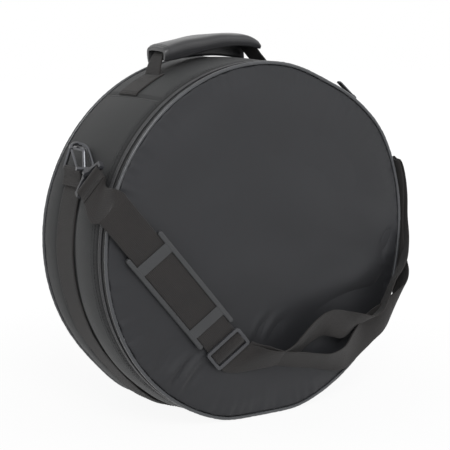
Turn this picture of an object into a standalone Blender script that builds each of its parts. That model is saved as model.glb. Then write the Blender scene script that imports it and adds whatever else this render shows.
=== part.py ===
"""Round padded bag for a snare drum, standing on its edge.

X runs to the right and Z up, and the lid faces -Y. The floor is z = 0 and the bag's axis runs along Y,
half way between the two piped edges.
"""
import math

import bmesh
import bpy
from mathutils import Matrix, Vector

# Driving sizes of the case, in metres
BAG_RADIUS = 0.196
BAG_DEPTH = 0.140
PIPING_RADIUS = 0.0022
FLOOR_DROP = 0.0045
CLOTH = 0.0012
WALL_FOAM = 0.006
PANEL_FOAM = 0.007
LINING = 0.0010
CROWN = 0.0105
GAP = 0.0003
WALL_LIFT = 0.0005
TURN_STEP = 5.0
CROWN_POWER = 3.2

# Zip: its line lies this far behind the lid's piping
ZIP_SETBACK = 0.0115
ZIP_TAPE = 0.0115
COIL_WIDTH = 0.0030
COIL_HEIGHT = 0.0016
ZIP_END_TURN = 26.0
ZIP_PART = 0.0009

# Cross seams of the gusset, this far beyond the ends of the handle's tails
SEAM_FROM_TAIL = 0.0007

# Webbing
WEBBING = 0.038
WEBBING_THICK = 0.0016
SLANT_SHARE = 0.6
BAND_SETBACK = 0.017
TAB_TURN = 66.1
TAB_REACH = 0.017
TAB_BAR_LIFT = 0.0062

# D-rings
RING_WIRE = 0.0021
RING_INNER = 0.0415
RING_TOP = 0.030
RING_HEIGHT = 0.0235
RING_LEAN = 9.0

# Handle: turned a little to the left of the top
HANDLE_TURN = 3.6
FOOT_SPAN = 0.143
HANDLE_SETBACK = 0.022
TAIL_REACH = 0.039
GRIP_INSET = 0.0105
GRIP_WIDE = 0.043
GRIP_TALL = 0.019
GRIP_RISE = 0.0340
GRIP_STATION_SHARES = [-1.0, -0.94, -0.5, 0.0, 0.5, 0.94, 1.0]
GRIP_END_SHARE = 0.84
GRIP_SQUARE_SHARE = 0.62
HANDLE_WEBBING = 0.032
# The loop's legs: shares of the run from the foot to the grip, and of the grip's height
LEG_SHARES = [(0.06, 0.45), (0.30, 0.80), (0.66, 0.96)]

# Snap hook
HOOK_WIRE = 0.0020
HOOK_HALF_WIDTH = 0.0095
HOOK_LENGTH = 0.0345
HOOK_NECK = 0.0040
HOOK_NECK_RADIUS = 0.0021
HOOK_HEAD_RADIUS = 0.0034
HOOK_HEAD_THICK = 0.0012
HOOK_FOOT_RADIUS = 0.0022
NOSE_STEPS = 6
HEEL_STEPS = 3
HOOK_HEADING_SHARES = (-0.22, -0.82, -0.53)
SWIVEL_RADIUS = 0.0052
SWIVEL_LENGTH = 0.0085
GATE_WIRE = 0.0013
YOKE_DROP = 0.0150
YOKE_BAR_RADIUS = 0.0022
YOKE_INNER = 0.0395
YOKE_ARM = 0.0032
YOKE_THICK = 0.0050

# Shoulder pad, in its own plane: along the strap and across it
PAD_LENGTH = 0.1360
PAD_RAIL_GAP = 0.0380
PAD_RAIL = 0.0052
PAD_THICK = 0.0052
PAD_BAR = 0.0125
PAD_BAR_INSET = 0.0140
PAD_ROUND = 0.0025
PAD_EDGE = 0.0009
PAD_X_SHARE = -0.588
PAD_Z_SHARE = -0.187
PAD_ROLL = 9.0
STRAP_RUN_SHARE = 0.648
STRAP_FALL_SHARE = 0.761
RIM_TO_PAD_SHARE = 0.663
RIM_DEPTH_SHARES = [-0.78, -1.04]
RIM_RUN_SHARES = [0.91, 0.80]

# Length slider
SLIDE_ACROSS = 0.0460
SLIDE_ALONG = 0.0250
SLIDE_BAR = 0.0036
SLIDE_THICK = 0.0030
SLIDE_FROM_PAD = 0.0100

# Strap ends and the way the webbing hangs
STRAP_END_REACH = 0.0140
STRAP_LIFT = 0.0030
STRAP_RIM_TURN = 164.0
RIGHT_FALL_TURN = 9.0
RIGHT_FALL_SHARE = -0.75
RIGHT_FALL_LIFT = 0.0120
HANG_LIFT = 0.0100
# Each row: on the lid (shares of the bag's radius to the right and up from the length slider's lower end)
# or beside the gusset (degrees, share of half the depth), then the share of the hanging webbing's lift
# and the direction of its width
UPPER_ROUTE_SHARES = [
    ("lid", 0.055, -0.040, 0.75, (0.70, 0.0, 0.71)),
    ("lid", 0.240, -0.130, 0.85, (0.25, 0.0, 0.97)),
    ("lid", 0.465, -0.030, 0.95, (-0.62, 0.0, 0.78)),
    ("lid", 0.655, 0.082, 0.95, (-0.42, 0.0, 0.91)),
    ("lid", 0.855, 0.090, 0.95, (0.05, 0.0, 0.99)),
    ("lid", 1.025, 0.120, 0.92, (0.10, 0.0, 0.98)),
    ("side", -21.0, -1.140, 0.66, (0.22, -0.15, 0.96)),
    ("side", -13.0, -0.985, 0.76, (0.10, -0.50, 0.86)),
    ("side", -5.0, -0.830, 0.86, (0.03, -0.74, 0.67)),
    ("side", 3.0, -0.760, 1.00, (-0.03, -0.78, 0.62)),
]
LOWER_ROUTE_SHARES = [
    ("lid", 0.225, -0.182, 0.36, (0.20, 0.0, 0.98)),
    ("lid", 0.435, -0.165, 0.36, (-0.05, 0.0, 0.99)),
    ("lid", 0.655, -0.105, 0.36, (-0.30, 0.0, 0.95)),
    ("lid", 0.855, -0.022, 0.36, (-0.35, 0.0, 0.94)),
    ("lid", 1.015, 0.050, 0.36, (-0.20, 0.0, 0.98)),
    ("side", -26.0, -1.090, 0.24, (0.30, -0.12, 0.95)),
    ("side", -17.0, -0.960, 0.24, (0.16, -0.38, 0.91)),
    ("side", -7.0, -0.810, 0.30, (0.07, -0.70, 0.70)),
    ("side", 3.0, -0.710, 0.40, (-0.03, -0.78, 0.62)),
]

# Zip slider and its pull
CAR_LENGTH = 0.0160
CAR_WIDTH = 0.0105
CAR_PLATE = 0.0011
CAR_CLEAR = 0.0005
CAR_WEB = 0.0003
CAR_ANGLE = 47.0
CAR_SPREAD = 5.6
BAIL_HALF = 0.0034
BAIL_RISE = 0.0039
BAIL_WIRE = 0.0007
PULL_LENGTH = 0.0300
PULL_WIDTH = 0.0075
PULL_THICK = 0.0014
PULL_PIN = 0.0009
PULL_RISE = 0.0016
BAIL_LINE_SHARES = [(1.0, 0.7), (0.6, 1.0)]

# Worked out from the sizes above
HALF_DEPTH = BAG_DEPTH / 2
OUTER_RADIUS = BAG_RADIUS + PIPING_RADIUS
CENTRE_Z = OUTER_RADIUS - FLOOR_DROP
WALL_OUT = BAG_RADIUS + WALL_LIFT
WALL_IN = WALL_OUT - CLOTH
FOAM_OUT = WALL_IN - GAP
FOAM_IN = FOAM_OUT - WALL_FOAM
LINING_OUT = FOAM_IN - GAP
LINING_IN = LINING_OUT - LINING
PANEL_EDGE = BAG_RADIUS - PIPING_RADIUS - GAP
ZIP_Y = -HALF_DEPTH + ZIP_SETBACK
RIM_Y = HALF_DEPTH - PIPING_RADIUS - GAP
TAPE_BACK_Y = ZIP_Y + ZIP_TAPE
BAND_FRONT_Y = BAND_SETBACK - WEBBING / 2
BAND_BACK_Y = BAND_SETBACK + WEBBING / 2
BAND_OUT = WALL_OUT + GAP / 2 + WEBBING_THICK
FACE_Y = -HALF_DEPTH - CLOTH / 2
RIM_TO_PAD = BAG_RADIUS * RIM_TO_PAD_SHARE
SLIDE_PLACE = PAD_LENGTH / 2 + SLIDE_FROM_PAD + SLIDE_ALONG / 2
GRIP_LENGTH = FOOT_SPAN - GRIP_INSET * 2
FOOT_TURN = math.degrees(math.asin(FOOT_SPAN / 2 / WALL_OUT))
TAIL_TURN = math.degrees(TAIL_REACH / WALL_OUT)
SEAM_TURN = HANDLE_TURN + FOOT_TURN + TAIL_TURN + math.degrees(SEAM_FROM_TAIL / WALL_OUT)

COLOURS = {
    "cloth": (0.052, 0.053, 0.058),
    "foam": (0.10, 0.10, 0.105),
    "lining": (0.020, 0.020, 0.022),
    "webbing": (0.043, 0.040, 0.040),
    "zip": (0.035, 0.035, 0.036),
    "leather": (0.056, 0.056, 0.061),
    "rubber": (0.075, 0.075, 0.080),
    "nylon": (0.070, 0.070, 0.074),
    "metal": (0.12, 0.12, 0.125),
}


def make_material(name, colour, roughness, metallic):
    """Principled surface with one colour."""
    material = bpy.data.materials.new(name)
    material.use_nodes = True
    shader = material.node_tree.nodes["Principled BSDF"]
    shader.inputs["Base Color"].default_value = (*colour, 1.0)
    shader.inputs["Roughness"].default_value = roughness
    shader.inputs["Metallic"].default_value = metallic
    return material


def turn(degrees_from_top):
    """The angle in radians, from +X towards +Z, of a place so many degrees left of the top."""
    return math.radians(90.0 + degrees_from_top)


def ring_point(radius, y, angle):
    """A point on the round of this radius, pressed flat where the floor meets the bag."""
    z = CENTRE_Z + radius * math.sin(angle)
    return Vector((radius * math.cos(angle), y, max(z, OUTER_RADIUS - radius, 0.0)))


def crown_at(share):
    """How far a panel bulges at this share of its radius."""
    return CROWN * (1.0 - min(share, 1.0) ** CROWN_POWER)


def face_y(x, z):
    """The lid's outer surface at this x and z."""
    share = math.hypot(x, z - CENTRE_Z) / PANEL_EDGE
    return FACE_Y - crown_at(share)


def step_angles(start, end):
    """Angles in degrees from start to end, on whole steps of the bag's facets between them."""
    first = math.floor(start / TURN_STEP) + 1
    last = math.ceil(end / TURN_STEP) - 1
    middle = [i * TURN_STEP for i in range(first, last + 1)]
    return [start] + middle + [end]


class Builder:
    """Makes each sub-part's object, in the bag's collection, with its material."""

    def __init__(self):
        for item in list(bpy.data.objects):
            bpy.data.objects.remove(item, do_unlink=True)
        self.parts = bpy.data.collections.new("snare_drum_bag")
        self.cutters = bpy.data.collections.new("cutters")
        bpy.context.scene.collection.children.link(self.parts)
        bpy.context.scene.collection.children.link(self.cutters)
        finish = {"rubber": (0.55, 0.0), "nylon": (0.45, 0.0), "metal": (0.35, 1.0), "leather": (0.5, 0.0)}
        self.materials = {}
        for name, colour in COLOURS.items():
            roughness, metallic = finish.get(name, (0.85, 0.0))
            self.materials[name] = make_material(name, colour, roughness, metallic)

    def place(self, name, data, material, cutter=False):
        """Link a new object and give it its material."""
        item = bpy.data.objects.new(name, data)
        if cutter:
            self.cutters.objects.link(item)
            item.hide_render = True
            item.display_type = 'WIRE'
        else:
            self.parts.objects.link(item)
            data.materials.append(self.materials[material])
        return item

    def from_bmesh(self, name, mesh, material, cutter=False, smooth=35.0):
        """Close a bmesh into an object with its faces pointing out."""
        bmesh.ops.recalc_face_normals(mesh, faces=mesh.faces)
        data = bpy.data.meshes.new(name)
        mesh.to_mesh(data)
        mesh.free()
        data.shade_smooth()
        data.set_sharp_from_angle(angle=math.radians(smooth))
        return self.place(name, data, material, cutter)

    def loft(self, name, sections, material, closed=False, cutter=False):
        """Join unlike sections of the same number of points into one closed solid."""
        mesh = bmesh.new()
        rings = [[mesh.verts.new(point) for point in section] for section in sections]
        count = len(rings[0])
        pairs = list(zip(rings, rings[1:]))
        if closed:
            pairs.append((rings[-1], rings[0]))
        for one, two in pairs:
            for i in range(count):
                j = (i + 1) % count
                mesh.faces.new((one[i], one[j], two[j], two[i]))
        if not closed:
            mesh.faces.new(list(reversed(rings[0])))
            mesh.faces.new(rings[-1])
        return self.from_bmesh(name, mesh, material, cutter)

    def curve_mesh(self, name, points, radius, material, resolution=2, cyclic=False):
        """A round wire along points, as a closed mesh."""
        data = bpy.data.curves.new(name + "_line", 'CURVE')
        data.dimensions = '3D'
        data.bevel_depth = radius
        data.bevel_resolution = resolution
        data.use_fill_caps = True
        spline = data.splines.new('POLY')
        spline.points.add(len(points) - 1)
        for slot, point in zip(spline.points, points):
            slot.co = (*point, 1.0)
        spline.use_cyclic_u = cyclic
        return self.curve_to_mesh(name, data, Matrix.Identity(4), material)

    def rod(self, name, start, end, radius, material, sides=12, cutter=False):
        """A round pin from one point to another."""
        ahead = end - start
        matrix = ahead.to_track_quat('Z', 'Y').to_matrix().to_4x4()
        matrix.translation = (start + end) / 2
        mesh = bmesh.new()
        bmesh.ops.create_cone(mesh, cap_ends=True, segments=sides, radius1=radius, radius2=radius,
                              depth=ahead.length, matrix=matrix)
        return self.from_bmesh(name, mesh, material, cutter)

    def block(self, name, matrix, u_size, v_size, w_size, material, cutter=False):
        """A box of this size, centred on a matrix's origin and turned with it."""
        mesh = bmesh.new()
        bmesh.ops.create_cube(mesh, size=1.0)
        bmesh.ops.scale(mesh, vec=(u_size, v_size, w_size), verts=mesh.verts)
        bmesh.ops.transform(mesh, matrix=matrix, verts=mesh.verts)
        return self.from_bmesh(name, mesh, material, cutter)

    def outline_mesh(self, name, outlines, thickness, matrix, material, bevel=0.0, cutter=False):
        """A flat outline with its holes, extruded to its thickness, as a closed mesh."""
        data = bpy.data.curves.new(name + "_outline", 'CURVE')
        data.dimensions = '2D'
        data.fill_mode = 'BOTH'
        data.extrude = thickness / 2 - bevel
        data.bevel_depth = bevel
        data.bevel_resolution = 0
        data.offset = -bevel
        for outline in outlines:
            spline = data.splines.new('POLY')
            spline.points.add(len(outline) - 1)
            for slot, (u, v) in zip(spline.points, outline):
                slot.co = (u, v, 0.0, 1.0)
            spline.use_cyclic_u = True
        return self.curve_to_mesh(name, data, matrix, material, cutter)

    def curve_to_mesh(self, name, data, matrix, material, cutter=False):
        """Turn a curve into a mesh with welded caps, placed by its matrix."""
        guide = bpy.data.objects.new(name + "_guide", data)
        bpy.context.scene.collection.objects.link(guide)
        bpy.context.view_layer.update()
        seen = guide.evaluated_get(bpy.context.evaluated_depsgraph_get())
        mesh = bmesh.new()
        mesh.from_mesh(bpy.data.meshes.new_from_object(seen))
        bmesh.ops.remove_doubles(mesh, verts=mesh.verts, dist=GAP / 30)
        bmesh.ops.transform(mesh, matrix=matrix, verts=mesh.verts)
        bpy.data.objects.remove(guide, do_unlink=True)
        return self.from_bmesh(name, mesh, material, cutter)

    def hide_as_cutter(self, item):
        """Move an object that only shapes another out of the bag's own collection."""
        self.parts.objects.unlink(item)
        self.cutters.objects.link(item)
        item.hide_render = True
        item.display_type = 'WIRE'

    def seat_origin(self, names, place):
        """Put the origins of these sub-parts at a place on the axis that they turn or slide about."""
        for name in names:
            item = bpy.data.objects[name]
            item.data.transform(Matrix.Translation(item.location - place))
            item.location = place

    def cut(self, item, cutter, operation='DIFFERENCE'):
        """Cut or join one object with another that is then left out."""
        change = item.modifiers.new("shape", 'BOOLEAN')
        change.operation = operation
        change.object = cutter
        change.solver = 'EXACT'


def frame_matrix(origin, u_axis, v_axis):
    """A matrix whose X and Y run along the two directions given, at the origin given."""
    u = u_axis.normalized()
    w = u.cross(v_axis).normalized()
    v = w.cross(u)
    matrix = Matrix((u, v, w)).transposed().to_4x4()
    matrix.translation = origin
    return matrix


def rounded_box(u_half, v_half, radius, steps=3):
    """Outline of a rectangle with round corners."""
    points = []
    centres = [(u_half - radius, v_half - radius, 0.0), (radius - u_half, v_half - radius, 90.0),
               (radius - u_half, radius - v_half, 180.0), (u_half - radius, radius - v_half, 270.0)]
    for u, v, start in centres:
        for i in range(steps + 1):
            angle = math.radians(start + 90.0 * i / steps)
            points.append((u + radius * math.cos(angle), v + radius * math.sin(angle)))
    return points


def shifted(outline, u, v):
    """An outline moved in its plane."""
    return [(a + u, b + v) for a, b in outline]


def smooth_route(rows, steps):
    """Catmull-Rom curve through rows of numbers, with so many steps between two rows."""
    points = [Vector(row) for row in rows]
    ends = [points[0] * 2 - points[1]] + points + [points[-1] * 2 - points[-2]]
    route = []
    for before, one, two, after in zip(ends, ends[1:], ends[2:], ends[3:]):
        for i in range(steps):
            t = i / steps
            route.append(((one * 2) + (two - before) * t
                          + (before * 2 - one * 5 + two * 4 - after) * t * t
                          + (one * 3 - before - two * 3 + after) * t ** 3) / 2)
    route.append(points[-1])
    return route


def arc_band(build, name, radius_in, radius_out, y_front, y_back, start, end, material):
    """A strip of the gusset between two radii, two depths and two angles."""
    sections = []
    for degrees in step_angles(start, end):
        angle = math.radians(degrees)
        sections.append([ring_point(radius_in, y_front, angle), ring_point(radius_out, y_front, angle),
                         ring_point(radius_out, y_back, angle), ring_point(radius_in, y_back, angle)])
    return build.loft(name, sections, material)


def full_ring(build, name, section, material):
    """A section of (radius, y) points carried all round the bag."""
    count = round(360.0 / TURN_STEP)
    sections = []
    for i in range(count):
        angle = math.radians(i * TURN_STEP)
        sections.append([ring_point(radius, y, angle) for radius, y in section])
    return build.loft(name, sections, material, closed=True)


def box_section(radius_in, radius_out, y_front, y_back):
    """Four corners of a strip's section."""
    return [(radius_in, y_front), (radius_out, y_front), (radius_out, y_back), (radius_in, y_back)]


def piping_section(y, sides=6):
    """Round section of the piping cord."""
    points = []
    for i in range(sides):
        angle = math.tau * i / sides
        points.append((BAG_RADIUS + PIPING_RADIUS * math.cos(angle), y + PIPING_RADIUS * math.sin(angle)))
    return points


def disc(build, name, edge, shares, outer, inner, side, material):
    """A round panel of two skins, outer(share) and inner(share) away from the bag's middle plane."""
    mesh = bmesh.new()
    count = round(360.0 / TURN_STEP)
    middle = Vector((0.0, 0.0, CENTRE_Z))

    def skin(offset, ring_shares):
        """Rings of vertices of one skin, from its centre point out."""
        rings = [[mesh.verts.new(middle + Vector((0.0, side * offset(0.0), 0.0)))]]
        for share in ring_shares:
            ring = []
            for i in range(count):
                flat = ring_point(edge, 0.0, math.radians(i * TURN_STEP)) - middle
                ring.append(mesh.verts.new(middle + flat * share + Vector((0.0, side * offset(share), 0.0))))
            rings.append(ring)
        return rings

    outer_rings = skin(outer, shares)
    inner_rings = skin(inner, shares)
    for rings in (outer_rings, inner_rings):
        for i in range(count):
            j = (i + 1) % count
            mesh.faces.new((rings[0][0], rings[1][i], rings[1][j]))
            for small, large in zip(rings[1:], rings[2:]):
                mesh.faces.new((small[i], large[i], large[j], small[j]))
    for i in range(count):
        j = (i + 1) % count
        mesh.faces.new((outer_rings[-1][i], inner_rings[-1][i], inner_rings[-1][j], outer_rings[-1][j]))
    return build.from_bmesh(name, mesh, material)


def panel_set(build, prefix, side, foam_edge):
    """Cloth, foam and lining of the lid or of the back."""
    cloth_out = HALF_DEPTH + CLOTH / 2
    cloth_in = HALF_DEPTH - CLOTH / 2
    foam_out = cloth_in - GAP
    foam_in = foam_out - PANEL_FOAM
    lining_out = foam_in - GAP
    lining_in = lining_out - LINING
    fine_shares = [0.36, 0.62, 0.80, 0.92, 1.0]
    plain_shares = [0.62, 0.92, 1.0]
    flat_shares = [1.0]
    disc(build, prefix + "_panel", PANEL_EDGE, fine_shares, lambda s: cloth_out + crown_at(s),
         lambda s: cloth_in + crown_at(s), side, "cloth")
    disc(build, prefix + "_foam", foam_edge, plain_shares, lambda s: foam_out + crown_at(s * foam_edge / PANEL_EDGE)
         - crown_at(foam_edge / PANEL_EDGE), lambda s: foam_in, side, "foam")
    disc(build, prefix + "_lining", foam_edge, flat_shares, lambda s: lining_out, lambda s: lining_in, side, "lining")
    return lining_in


def make_case(build):
    """Gusset strips, their foam and lining, both panels, both pipings and the zip."""
    seam = SEAM_TURN
    half = GAP / 2
    seam_slack = math.degrees(half / WALL_OUT)
    wall_back = RIM_Y
    arc_band(build, "side_wall", WALL_IN, WALL_OUT, TAPE_BACK_Y + half, wall_back,
             90.0 + seam + seam_slack, 450.0 - seam - seam_slack, "cloth")
    arc_band(build, "top_panel", WALL_IN, WALL_OUT, TAPE_BACK_Y + half, wall_back,
             90.0 - seam + seam_slack, 90.0 + seam - seam_slack, "cloth")
    foam_front = ZIP_Y + CAR_WIDTH / 2 + GAP * 2
    full_ring(build, "wall_foam", box_section(FOAM_IN, FOAM_OUT, foam_front, wall_back), "foam")
    full_ring(build, "wall_lining", box_section(LINING_IN, LINING_OUT, foam_front, wall_back), "lining")
    panel_set(build, "back", 1.0, LINING_IN - GAP)
    panel_set(build, "lid", -1.0, PANEL_EDGE - LINING)
    full_ring(build, "back_piping", piping_section(HALF_DEPTH), "cloth")
    full_ring(build, "lid_piping", piping_section(-HALF_DEPTH), "cloth")

    lid_front = -HALF_DEPTH + PIPING_RADIUS + GAP
    zip_start = -90.0 + ZIP_END_TURN
    zip_end = 270.0 - ZIP_END_TURN
    part = ZIP_PART / 2
    make_zip_half(build, "zip_body_half", ZIP_Y + part, TAPE_BACK_Y - half, zip_start, zip_end)
    make_zip_half(build, "zip_lid_half", ZIP_Y - part, lid_front, zip_start, zip_end)
    end_slack = math.degrees(GAP / WALL_OUT)
    arc_band(build, "hinge_strip", WALL_IN, WALL_OUT, ZIP_Y + half, TAPE_BACK_Y - half,
             zip_end + end_slack, zip_start + 360.0 - end_slack, "cloth")
    arc_band(build, "lid_rim", WALL_IN, WALL_OUT, lid_front, ZIP_Y - half,
             zip_end + end_slack, zip_start + 360.0 - end_slack, "cloth")


def make_zip_half(build, name, meet_y, sewn_y, start, end):
    """Tape with its coil standing up at the edge where the two halves meet."""
    away = 1.0 if sewn_y > meet_y else -1.0
    coil_y = meet_y + away * COIL_WIDTH
    coil_out = WALL_OUT + COIL_HEIGHT
    sections = []
    for degrees in step_angles(start, end):
        angle = math.radians(degrees)
        sections.append([ring_point(WALL_IN, meet_y, angle), ring_point(coil_out, meet_y, angle),
                         ring_point(coil_out, coil_y, angle), ring_point(WALL_OUT, coil_y, angle),
                         ring_point(WALL_OUT, sewn_y, angle), ring_point(WALL_IN, sewn_y, angle)])
    return build.loft(name, sections, "zip")


def make_band(build):
    """Webbing band from the left tab round the bottom to the right tab."""
    start = 90.0 + TAB_TURN
    end = 450.0 - TAB_TURN
    return arc_band(build, "webbing_band", WALL_OUT + GAP / 2, BAND_OUT, BAND_FRONT_Y, BAND_BACK_Y,
                    start, end, "webbing")


def rolled_end(bar_radius, reach):
    """Outline of webbing rolled round a bar, with its two layers sewn together behind it."""
    hole = bar_radius + GAP
    outer = hole + WEBBING_THICK
    start = math.asin(WEBBING_THICK / outer)
    steps = 14
    outline = []
    for i in range(steps + 1):
        angle = start + (math.tau - 2 * start) * i / steps
        outline.append((outer * math.cos(angle), outer * math.sin(angle)))
    outline += [(reach, -WEBBING_THICK), (reach, WEBBING_THICK)]
    inner = [(hole * math.cos(math.tau * i / steps), hole * math.sin(math.tau * i / steps)) for i in range(steps)]
    return [outline, inner]


def ring_bar(side):
    """Middle of a D-ring's straight bar. side is -1 on the left and 1 on the right."""
    angle = turn(TAB_TURN)
    radius = WALL_OUT + TAB_BAR_LIFT
    return Vector((-side * radius * math.cos(angle), BAND_SETBACK, CENTRE_Z + radius * math.sin(angle)))


def make_ring_and_tab(build, side, label):
    """D-ring, with the rolled tab of webbing that holds its bar."""
    bar = ring_bar(side)
    lean = math.radians(RING_LEAN)
    up = Vector((-side * math.sin(lean), 0.0, math.cos(lean)))
    along = Vector((0.0, 1.0, 0.0))
    half_bar = RING_INNER / 2 + RING_WIRE
    half_top = RING_TOP / 2
    shape = [(-half_bar, 0.0), (half_bar, 0.0), (half_top, RING_HEIGHT), (-half_top, RING_HEIGHT)]
    points = rounded_path(shape, RING_WIRE * 1.3, steps=4)
    ring = build.curve_mesh("ring_" + label, [along * u + up * v for u, v in points], RING_WIRE, "metal",
                            resolution=3, cyclic=True)
    ring.location = bar

    angle = turn(TAB_TURN)
    down = Vector((side * math.sin(angle), 0.0, math.cos(angle)))
    outward = Vector((-side * math.cos(angle), 0.0, math.sin(angle)))
    seat = BAND_OUT - WALL_OUT + WEBBING_THICK + GAP
    spare = TAB_BAR_LIFT - seat + TAB_REACH ** 2 / (2 * WALL_OUT)
    slope = math.asin(spare / TAB_REACH)
    tail = down * math.cos(slope) - outward * math.sin(slope)
    matrix = frame_matrix(bar, tail, outward)
    build.outline_mesh("tab_" + label, rolled_end(RING_WIRE, TAB_REACH), WEBBING - GAP, matrix, "webbing")


def rounded_path(corners, radius, steps=3):
    """A closed path through corners that are rounded by an arc-like curve of this reach."""
    path = []
    count = len(corners)
    for i in range(count):
        here = Vector(corners[i])
        before = (Vector(corners[i - 1]) - here).normalized() * radius
        after = (Vector(corners[(i + 1) % count]) - here).normalized() * radius
        for k in range(steps + 1):
            t = k / steps
            spot = here + before * (1.0 - t) ** 2 + after * t ** 2
            path.append((spot.x, spot.y))
    return path


def handle_axes():
    """Origin between the handle's feet, and its directions along, across and up."""
    tilt = math.radians(HANDLE_TURN)
    along = Vector((math.cos(tilt), 0.0, math.sin(tilt)))
    up = Vector((-math.sin(tilt), 0.0, math.cos(tilt)))
    rise = math.sqrt(WALL_OUT ** 2 - (FOOT_SPAN / 2) ** 2)
    origin = Vector((0.0, HANDLE_SETBACK, CENTRE_Z)) + up * rise
    return origin, along, up


def strip_sections(rows, width, thickness):
    """Sections of a flat strip along rows of (place, direction of its width), which may lie aslant."""
    sections = []
    for i, (place, across) in enumerate(rows):
        before = rows[max(i - 1, 0)][0]
        after = rows[min(i + 1, len(rows) - 1)][0]
        ahead = (after - before).normalized()
        across = across.normalized()
        square = (across - ahead * across.dot(ahead)).length
        normal = ahead.cross(across).normalized()
        side = across * width / 2 / max(square, SLANT_SHARE)
        lift = normal * thickness / 2
        sections.append([place - side - lift, place + side - lift, place + side + lift, place - side + lift])
    return sections


def handle_height(share):
    """Height of the handle's webbing above its feet at this share of the grip's half length."""
    return GRIP_RISE - WEBBING_THICK * share ** 2


def make_handle(build):
    """Two sewn tails, the webbing loop between them and the padded wrap on the loop."""
    origin, along, up = handle_axes()
    across = Vector((0.0, 1.0, 0.0))
    half = FOOT_SPAN / 2
    grip_half = GRIP_LENGTH / 2
    foot_lift = WEBBING_THICK * 2
    side_run = half - grip_half
    top = handle_height(1.0)
    leg = [(-half, foot_lift)]
    leg += [(-half + side_run * run_share, top * rise_share) for run_share, rise_share in LEG_SHARES]
    line = leg + [(share * grip_half, handle_height(share)) for share in GRIP_STATION_SHARES]
    line += [(-u, v) for u, v in reversed(leg)]
    rows = [(origin + along * u + up * v, across) for u, v in line]
    build.loft("handle_loop", strip_sections(rows, HANDLE_WEBBING, WEBBING_THICK), "webbing")
    make_grip(build, origin, along, up, across)

    y_front = HANDLE_SETBACK - WEBBING / 2
    y_back = HANDLE_SETBACK + WEBBING / 2
    low = WALL_OUT + GAP / 2
    high = low + WEBBING_THICK
    for label, sign in (("left", 1.0), ("right", -1.0)):
        middle = 90.0 + HANDLE_TURN + sign * FOOT_TURN
        ends = sorted((middle - sign * math.degrees(WEBBING_THICK / WALL_OUT), middle + sign * TAIL_TURN))
        arc_band(build, "handle_tail_" + label, low, high, y_front, y_back, ends[0], ends[1], "webbing")


def make_grip(build, origin, along, up, across):
    """Padded wrap: an oval sleeve round the webbing, that follows its slight arch."""
    slot_wide = HANDLE_WEBBING / 2 + GAP * 2
    slot_tall = WEBBING_THICK / 2 + GAP * 2
    grip_half = GRIP_LENGTH / 2
    sides = 16
    mesh = bmesh.new()
    outer_rings = []
    inner_rings = []
    for place_share in GRIP_STATION_SHARES:
        size_share = GRIP_END_SHARE if abs(place_share) == 1.0 else 1.0
        centre = origin + along * place_share * grip_half + up * handle_height(place_share)
        outer = []
        inner = []
        for i in range(sides):
            angle = math.tau * (i + 0.5) / sides
            c = math.cos(angle)
            s = math.sin(angle)
            wide = math.copysign(abs(c) ** GRIP_SQUARE_SHARE, c)
            tall = math.copysign(abs(s) ** GRIP_SQUARE_SHARE, s)
            outer.append(mesh.verts.new(centre + across * wide * GRIP_WIDE / 2 * size_share
                                        + up * tall * GRIP_TALL / 2 * size_share))
            square = max(abs(c), abs(s))
            inner.append(mesh.verts.new(centre + across * c / square * slot_wide + up * s / square * slot_tall))
        outer_rings.append(outer)
        inner_rings.append(inner)
    for rings in (outer_rings, inner_rings):
        for one, two in zip(rings, rings[1:]):
            for i in range(sides):
                j = (i + 1) % sides
                mesh.faces.new((one[i], one[j], two[j], two[i]))
    for end in (0, -1):
        for i in range(sides):
            j = (i + 1) % sides
            mesh.faces.new((outer_rings[end][i], outer_rings[end][j], inner_rings[end][j], inner_rings[end][i]))
    return build.from_bmesh("handle_grip", mesh, "leather")


def mirrored(side, vector):
    """A left-hand place or direction, moved to its own side."""
    return Vector((-side * vector.x, vector.y, vector.z))


def hook_axes(side):
    """Where the hook holds the ring, its direction, and its plane's second direction."""
    bar = ring_bar(-1.0)
    lean = math.radians(RING_LEAN)
    hold = bar + Vector((math.sin(lean), 0.0, math.cos(lean))) * RING_HEIGHT
    hold.y = BAND_SETBACK - WEBBING / 7
    ahead = Vector(HOOK_HEADING_SHARES).normalized()
    out = Vector((-1.0, 0.0, 0.0))
    out = (out - ahead * out.dot(ahead)).normalized()
    return mirrored(side, hold), mirrored(side, ahead), mirrored(side, out)


def gate_pivot(side):
    """Where the gate's foot stands on the hook, beside its swivel."""
    hold, ahead, out = hook_axes(side)
    return hold + out * HOOK_HALF_WIDTH + ahead * (HOOK_LENGTH - HOOK_FOOT_RADIUS - GAP)


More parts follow.
